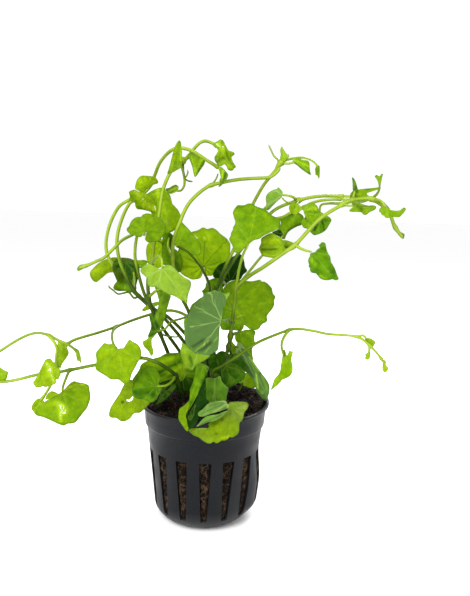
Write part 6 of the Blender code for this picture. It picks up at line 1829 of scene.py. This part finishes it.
def scars_and_painted_glints(tree, place, light):
    """Flecks of noise where the lightness goes over 1.1: pale scars, and painted glints of wet
    highlights.
    """
    scar_and_glint = add(tree, "MapRange", None, {0: light, 1: 1.1, 2: 1.5, 3: 0.0, 4: 0.9}).outputs[0]
    flecks = add(tree, "TexNoise", None,
                 {"Vector": place, "Scale": 1 / (FLECK_SIZE * MM), "Detail": 1.0})
    flecks = add(tree, "MapRange", None,
                 {0: flecks.outputs[0], 1: 0.51, 2: 0.57, 3: 0.0, 4: 1.0}).outputs[0]
    return add(tree, "Math", {"operation": "MULTIPLY"}, {0: scar_and_glint, 1: flecks}).outputs[0]


print("tissue cells", TISSUE_CELL, "mm, flecks", FLECK_SIZE, "mm")

# %% [markdown]
# The colour starts from the leaf's own green. Thin coats of other colours are laid over it,
# each by its share: the yellowing, the margin, the edges of the cells, the duller underside,
# the veins, and the scars with the painted glints. A coat of the veins is bare at its first
# underside number and full at its second, and then comes its greatest share.

# %% Leaf colour
MIXER = {"data_type": "RGBA"}
VEIN_COATS = ((0.0, 1.0, 0.27, "#B8D488"), (0.0, -2.0, 0.54, "#35660A"), (-1.0, 0.0, 0.12, "#B9DC52"))


def leaf_colour(tree, place, share, tones, on_vein, cells):
    """Green by lightness and olive by yellowing, then each coat mixed over it by its share."""
    light, yellow, underside = tones
    blotches = add(tree, "TexNoise", None, {"Vector": place, "Scale": 1 / (3 * MM), "Detail": 3.0})
    blotches = add(tree, "MapRange", None,
                   {0: blotches.outputs[0], 1: 0.3, 2: 0.7, 3: -0.12, 4: 0.12})
    light = add(tree, "Math", {"operation": "ADD"}, {0: light, 1: blotches.outputs[0]}).outputs[0]
    green = add(tree, "ValToRGB", None, {0: light})
    ramp = green.color_ramp.elements
    ramp[0].position, ramp[0].color = 0.0, linear("#163A04")
    ramp[1].position, ramp[1].color = 1.0, linear("#A6C608")
    for at, code in ((0.3, "#2E5A03"), (0.55, "#629103"), (0.78, "#86AC04")):
        ramp.new(at).color = linear(code)
    # the margin darkens towards its very edge
    edge = add(tree, "MapRange", SMOOTH, {0: share, 1: 0.90, 2: 1.0, 3: 0.0, 4: 0.35}).outputs[0]
    tissue = add(tree, "MapRange", None, {0: cells, 1: 0.0, 2: 1.0, 3: 0.16, 4: 0.0}).outputs[0]
    pale = add(tree, "MapRange", None, {0: underside, 1: 0.0, 2: 1.0, 3: 0.0, 4: 0.30}).outputs[0]
    coats = [(yellow, "#A9AC16"), (edge, "#3A6A10"), (tissue, "#2F6410"), (pale, "#8FB46A")]
    # pale veins on an underside, dark ones where light shines through, faint ones elsewhere
    for bare, full, most, code in VEIN_COATS:
        shown = add(tree, "MapRange", None, {0: underside, 1: bare, 2: full, 3: 0.0, 4: most})
        shown = add(tree, "Math", {"operation": "MULTIPLY"}, {0: shown.outputs[0], 1: on_vein})
        coats.append((shown.outputs[0], code))
    # pale flecks: real scars, and painted glints of wet highlights
    coats.append((scars_and_painted_glints(tree, place, light), "#F0F8DC"))
    colour = green.outputs[0]
    for amount, code in coats:
        colour = add(tree, "Mix", MIXER, {0: amount, 6: colour, 7: linear(code)}).outputs[2]
    return colour


print("vein coats:", len(VEIN_COATS))

# %% [markdown]
# The whole material has the wax's soft gloss, which is duller on the underside. On the upper
# face the veins are sunk, and under it they are raised.

# %% Leaf material
LEAF_IOR = 1.42
LEAF_GLOSS = 0.09
LIGHT_THROUGH_LEAF = 0.38


def leaf_material():
    """Cress leaf tissue: waxy satin outside, bright where light passes, pale fine veins."""
    material, tree, shader, output = blank_material("cress_leaf_tissue")
    blade = add(tree, "Attribute", {"attribute_name": BLADE}).outputs["Vector"]
    tone = add(tree, "Attribute", {"attribute_name": TONE}).outputs["Vector"]
    vein, share, radius = add(tree, "SeparateXYZ", None, {0: blade}).outputs
    tones = add(tree, "SeparateXYZ", None, {0: tone}).outputs
    underside = tones[2]
    place = add(tree, "TexCoord").outputs["Object"]
    on_vein = vein_pattern(tree, place, vein, share, radius)
    cells = tissue_cells(tree, place)
    colour = leaf_colour(tree, place, share, tones, on_vein, cells)
    tree.links.new(colour, shader.inputs["Base Color"])
    shader.inputs["IOR"].default_value = LEAF_IOR
    shader.inputs["Specular IOR Level"].default_value = LEAF_GLOSS
    rough = add(tree, "MapRange", None, {0: underside, 1: 0.0, 2: 1.0, 3: 0.40, 4: 0.62}).outputs[0]
    tree.links.new(rough, shader.inputs["Roughness"])
    relief = add(tree, "MapRange", None, {0: underside, 1: 0.0, 2: 1.0, 3: -0.8, 4: 0.9}).outputs[0]
    relief = add(tree, "Math", {"operation": "MULTIPLY"}, {0: relief, 1: on_vein}).outputs[0]
    height = add(tree, "Math", {"operation": "MULTIPLY_ADD"},
                 {0: cells, 1: 0.35, 2: relief}).outputs[0]
    bump = add(tree, "Bump", None, {"Height": height, "Distance": 0.10 * MM, "Strength": 0.6})
    tree.links.new(bump.outputs[0], shader.inputs["Normal"])
    through = add(tree, "BsdfTranslucent", None, {"Color": colour, "Normal": bump.outputs[0]})
    mixed = add(tree, "MixShader", None,
                {0: LIGHT_THROUGH_LEAF, 1: shader.outputs[0], 2: through.outputs[0]})
    tree.links.new(mixed.outputs[0], output.inputs["Surface"])
    return material


LEAF_TISSUE = leaf_material()
print("leaf nodes:", len(LEAF_TISSUE.node_tree.nodes))

# %% [markdown]
# ## Stems
#
# A cress stem is a juicy ribbed stalk. It is dark green, nearly olive, where it leaves the
# medium, and turns yellow-green and half clear towards its tip. So its colour follows how far
# a place is from the crown, the middle of the medium's top, from which all stems grow. A
# painted streak of light and shade makes it lighter along its middle than at its sides, and
# lighter on top than below.

# %% Stem material
CROWN = (0.0, 0.0, 48 * MM)
OLD_REACH, YOUNG_REACH, AGE_TONE = 14 * MM, 78 * MM, 0.35
LIGHT_THROUGH_STEM = 0.22


def stem_material():
    """Cress stalk: smooth and moist, dark olive at the foot and yellow-green at the tip."""
    material, tree, shader, output = blank_material("cress_stem_stalk")
    place = add(tree, "TexCoord").outputs["Object"]
    reach = add(tree, "VectorMath", {"operation": "DISTANCE"},
                {0: place, 1: CROWN}).outputs["Value"]
    tone = add(tree, "Attribute", {"attribute_name": TONE})
    tone, painted_streak, _ = add(tree, "SeparateXYZ", None, {0: tone.outputs["Vector"]}).outputs
    rise = add(tree, "MapRange", None,
               {0: reach, 1: OLD_REACH, 2: YOUNG_REACH, 3: -AGE_TONE, 4: AGE_TONE}).outputs[0]
    rise = add(tree, "Math", {"operation": "ADD"}, {0: rise, 1: tone}).outputs[0]
    spots = add(tree, "TexNoise", None, {"Vector": place, "Scale": 1 / (5 * MM), "Detail": 1.0})
    spots = add(tree, "MapRange", None,
                {0: spots.outputs[0], 1: 0.3, 2: 0.7, 3: -0.06, 4: 0.06}).outputs[0]
    # the painted streak of light and shade: darker at the sides and below, lighter along the front,
    # the back and the top
    painted_streak = add(tree, "MapRange", None,
                 {0: painted_streak, 1: 0.15, 2: 0.95, 3: -0.30, 4: 0.14}).outputs[0]
    spots = add(tree, "Math", {"operation": "ADD"}, {0: spots, 1: painted_streak}).outputs[0]
    rise = add(tree, "Math", {"operation": "ADD"}, {0: rise, 1: spots}).outputs[0]
    green = add(tree, "ValToRGB", None, {0: rise})
    ramp = green.color_ramp.elements
    ramp[0].position, ramp[0].color = 0.0, linear("#1C2E06")
    ramp[1].position, ramp[1].color = 1.0, linear("#9AB234")
    for at, code in ((0.3, "#3C560A"), (0.55, "#617C10"), (0.8, "#7E9822")):
        ramp.new(at).color = linear(code)
    tree.links.new(green.outputs[0], shader.inputs["Base Color"])
    shader.inputs["IOR"].default_value = LEAF_IOR
    shader.inputs["Specular IOR Level"].default_value = 0.12
    shader.inputs["Roughness"].default_value = 0.40
    through = add(tree, "BsdfTranslucent", None, {"Color": green.outputs[0]})
    mixed = add(tree, "MixShader", None,
                {0: LIGHT_THROUGH_STEM, 1: shader.outputs[0], 2: through.outputs[0]})
    tree.links.new(mixed.outputs[0], output.inputs["Surface"])
    return material


STEM_STALK = stem_material()
print("stem nodes:", len(STEM_STALK.node_tree.nodes))

# %% [markdown]
# ## Making the stems and leaves
#
# Each stem is a tube along its route. A leaf's petiole leaves the stem's side, follows its
# stops and ends in the heart of the blade. Where a leaf or a twig leaves it, a real stem has
# a node, which is a little thicker.

# %% Routes of the stems
FOOT_DEPTH = 1.5 * MM
PETIOLE_RADIUS = 0.55 * MM
YOUNG_RADIUS = 0.50 * MM
STALK_SIDES = 12
STALK_START, STALK_END, TWIG_END = 1.15, 0.8, 0.7
STALK_OFF_AXIS = 0.3
NODE_EXTRA = 0.28 * MM
NODE_HALF = 1.1 * MM
OLD_DROP = 0.45
OLD_EDGE = 0.1


def foot_place(x, y):
    """A place a little under the medium's surface, x and y in mm."""
    return np.array([x * MM, y * MM, mound_height(x * MM, y * MM) - FOOT_DEPTH])


def side_place(route, radius, pixel, towards):
    """Where a stalk starts, inside the skin of its stem and on the side it grows to."""
    place, along = nearest_on(route, pixel)
    away = towards - place
    sideways = unit(away - along * (away @ along))
    return place + sideways * radius * STALK_OFF_AXIS


ROUTES = {}
for name, plan in STEMS.items():
    stops = photo_points(plan["route"])
    if plan["foot"]:
        first = foot_place(*plan["foot"])
    else:
        parent, at = plan["on"]
        first = side_place(ROUTES[parent], STEMS[parent]["radii"][0], at, stops[0])
    ROUTES[name] = smooth_route(np.vstack([first, stops]))
lengths = {name: len(route) * ROUTE_STEP / MM for name, route in ROUTES.items()}
print("stem lengths in mm:", {name: round(length) for name, length in lengths.items()})

# %% Stalks, blades and nodes
def blade_skins(plan):
    """A blade, and the parts of it that are folded over or under."""
    return [leaf_skin(plan), *(leaf_skin({**plan, **flap}) for flap in plan["flaps"])]


def stalk_skin(start, plan, radius, tone):
    """A petiole from its start through its stops into the heart of the blade."""
    heart = photo_points(plan["heart"])[0]
    stops = [start, *(photo_points(stop)[0] for stop in plan["petiole"]), heart]
    if len(stops) == 2:
        stops.insert(1, (start + heart) / 2)
    ends = radius * STALK_START, radius * STALK_END
    return tube_skin(smooth_route(stops), *ends, tone, sides=STALK_SIDES, material=1)


def extra_skins(route, extra, tone):
    """A twig, or a young leaf with its petiole, that grows out of a stem."""
    start = nearest_on(route, extra["at"])[0]
    if "route" in extra:
        route = smooth_route(np.vstack([start, photo_points(extra["route"])]))
        ends = extra["radius"], extra["radius"] * TWIG_END
        return [tube_skin(route, *ends, tone, sides=STALK_SIDES, material=1)]
    return [stalk_skin(start, extra, YOUNG_RADIUS, tone), *blade_skins(extra)]


def nodes_on(name):
    """The swellings of a stem: one for each leaf, twig or side stem that leaves it."""
    places = [plan["at"] for plan in LEAVES.values() if plan["on"] == name]
    places += [extra["at"] for extra in STEMS[name]["extras"]]
    places += [plan["on"][1] for plan in STEMS.values() if plan["on"] and plan["on"][0] == name]
    return [(nearest_on(ROUTES[name], at)[0], NODE_EXTRA, NODE_HALF) for at in places]


def stem_tones(route, plan):
    """The tone along a stem, lower over its old share: the drop grows up to that share's end."""
    share = np.linspace(0.0, 1.0, len(route))
    old = max(plan["old"], OLD_EDGE)
    young = eased((share - plan["old"]) / OLD_EDGE + 1.0)
    return plan["tone"] - OLD_DROP * (1.0 - young) * np.clip(share / old, 0.0, 1.0)


SKIN_MATERIALS = [LEAF_TISSUE, STEM_STALK]
for name, plan in STEMS.items():
    tones = stem_tones(ROUTES[name], plan)
    skins = [tube_skin(ROUTES[name], *plan["radii"], tones, swellings=nodes_on(name), material=1)]
    for extra in plan["extras"]:
        skins += extra_skins(ROUTES[name], extra, extra["stalk"])
    piece = build_piece(name + "_grown", skins, SKIN_MATERIALS)
    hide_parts(name)
print("stems made:", len(STEMS))

# %% Make the leaves
for name, plan in LEAVES.items():
    heading = photo_points(plan["petiole"][0] if plan["petiole"] else plan["heart"])[0]
    if plan["on"]:
        start = side_place(ROUTES[plan["on"]], STEMS[plan["on"]]["radii"][0], plan["at"], heading)
    else:
        start = foot_place(*plan["at"])
    skins = [*blade_skins(plan), stalk_skin(start, plan, PETIOLE_RADIUS, plan["stalk"])]
    piece = build_piece(name + "_grown", skins, SKIN_MATERIALS)
    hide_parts(name)
print("leaves made:", len(LEAVES))

# %% [markdown]
# ## The damage
#
# The low leaf at the left has been eaten: a crescent hole goes right through it. A prism with
# the hole's outline is cut out of the finished leaf along the lines of sight.

# %% Cut the hole
HOLE = [
    (126.5, 399.3), (128.5, 399.9), (130.5, 398.9), (132.8, 396), (133.3, 398), (131.7, 400.5),
    (129, 401.7), (126.8, 401.1)]
HOLE_NEAR, HOLE_FAR = -26, -12


def cut_through(piece, outline, near, far):
    """Cuts a hole with an outline in pixels through a piece, between two depths in mm."""
    rings = [photo_points([(x, y, depth) for x, y in outline]) for depth in (near, far)]
    ring = np.arange(len(outline))
    sides = strip(np.append(ring, 0), np.append(ring, 0) + len(outline))
    caps = [ring[::-1].tolist(), (ring + len(outline)).tolist()]
    mesh = bpy.data.meshes.new("cutter")
    mesh.from_pydata(np.concatenate(rings).tolist(), [], caps + sides.tolist())
    shape = bmesh.new()
    shape.from_mesh(mesh)
    bmesh.ops.recalc_face_normals(shape, faces=shape.faces)
    shape.to_mesh(mesh)
    shape.free()
    cutter = bpy.data.objects.new("cutter", mesh)
    bpy.context.scene.collection.objects.link(cutter)
    hole = piece.modifiers.new("eaten_hole", "BOOLEAN")
    hole.operation = "DIFFERENCE"
    hole.object = cutter
    hole.solver = "FAST"
    whole = piece.data
    cut = piece.evaluated_get(bpy.context.evaluated_depsgraph_get())
    piece.data = bpy.data.meshes.new_from_object(cut)
    piece.modifiers.clear()
    bpy.data.objects.remove(cutter)
    for spare in (mesh, whole):
        bpy.data.meshes.remove(spare)
    return len(piece.data.polygons)


holed = bpy.data.objects["leaf_left_low_holed_grown"]
print("faces before:", len(holed.data.polygons))
print("faces after:", cut_through(holed, HOLE, HOLE_NEAR, HOLE_FAR))
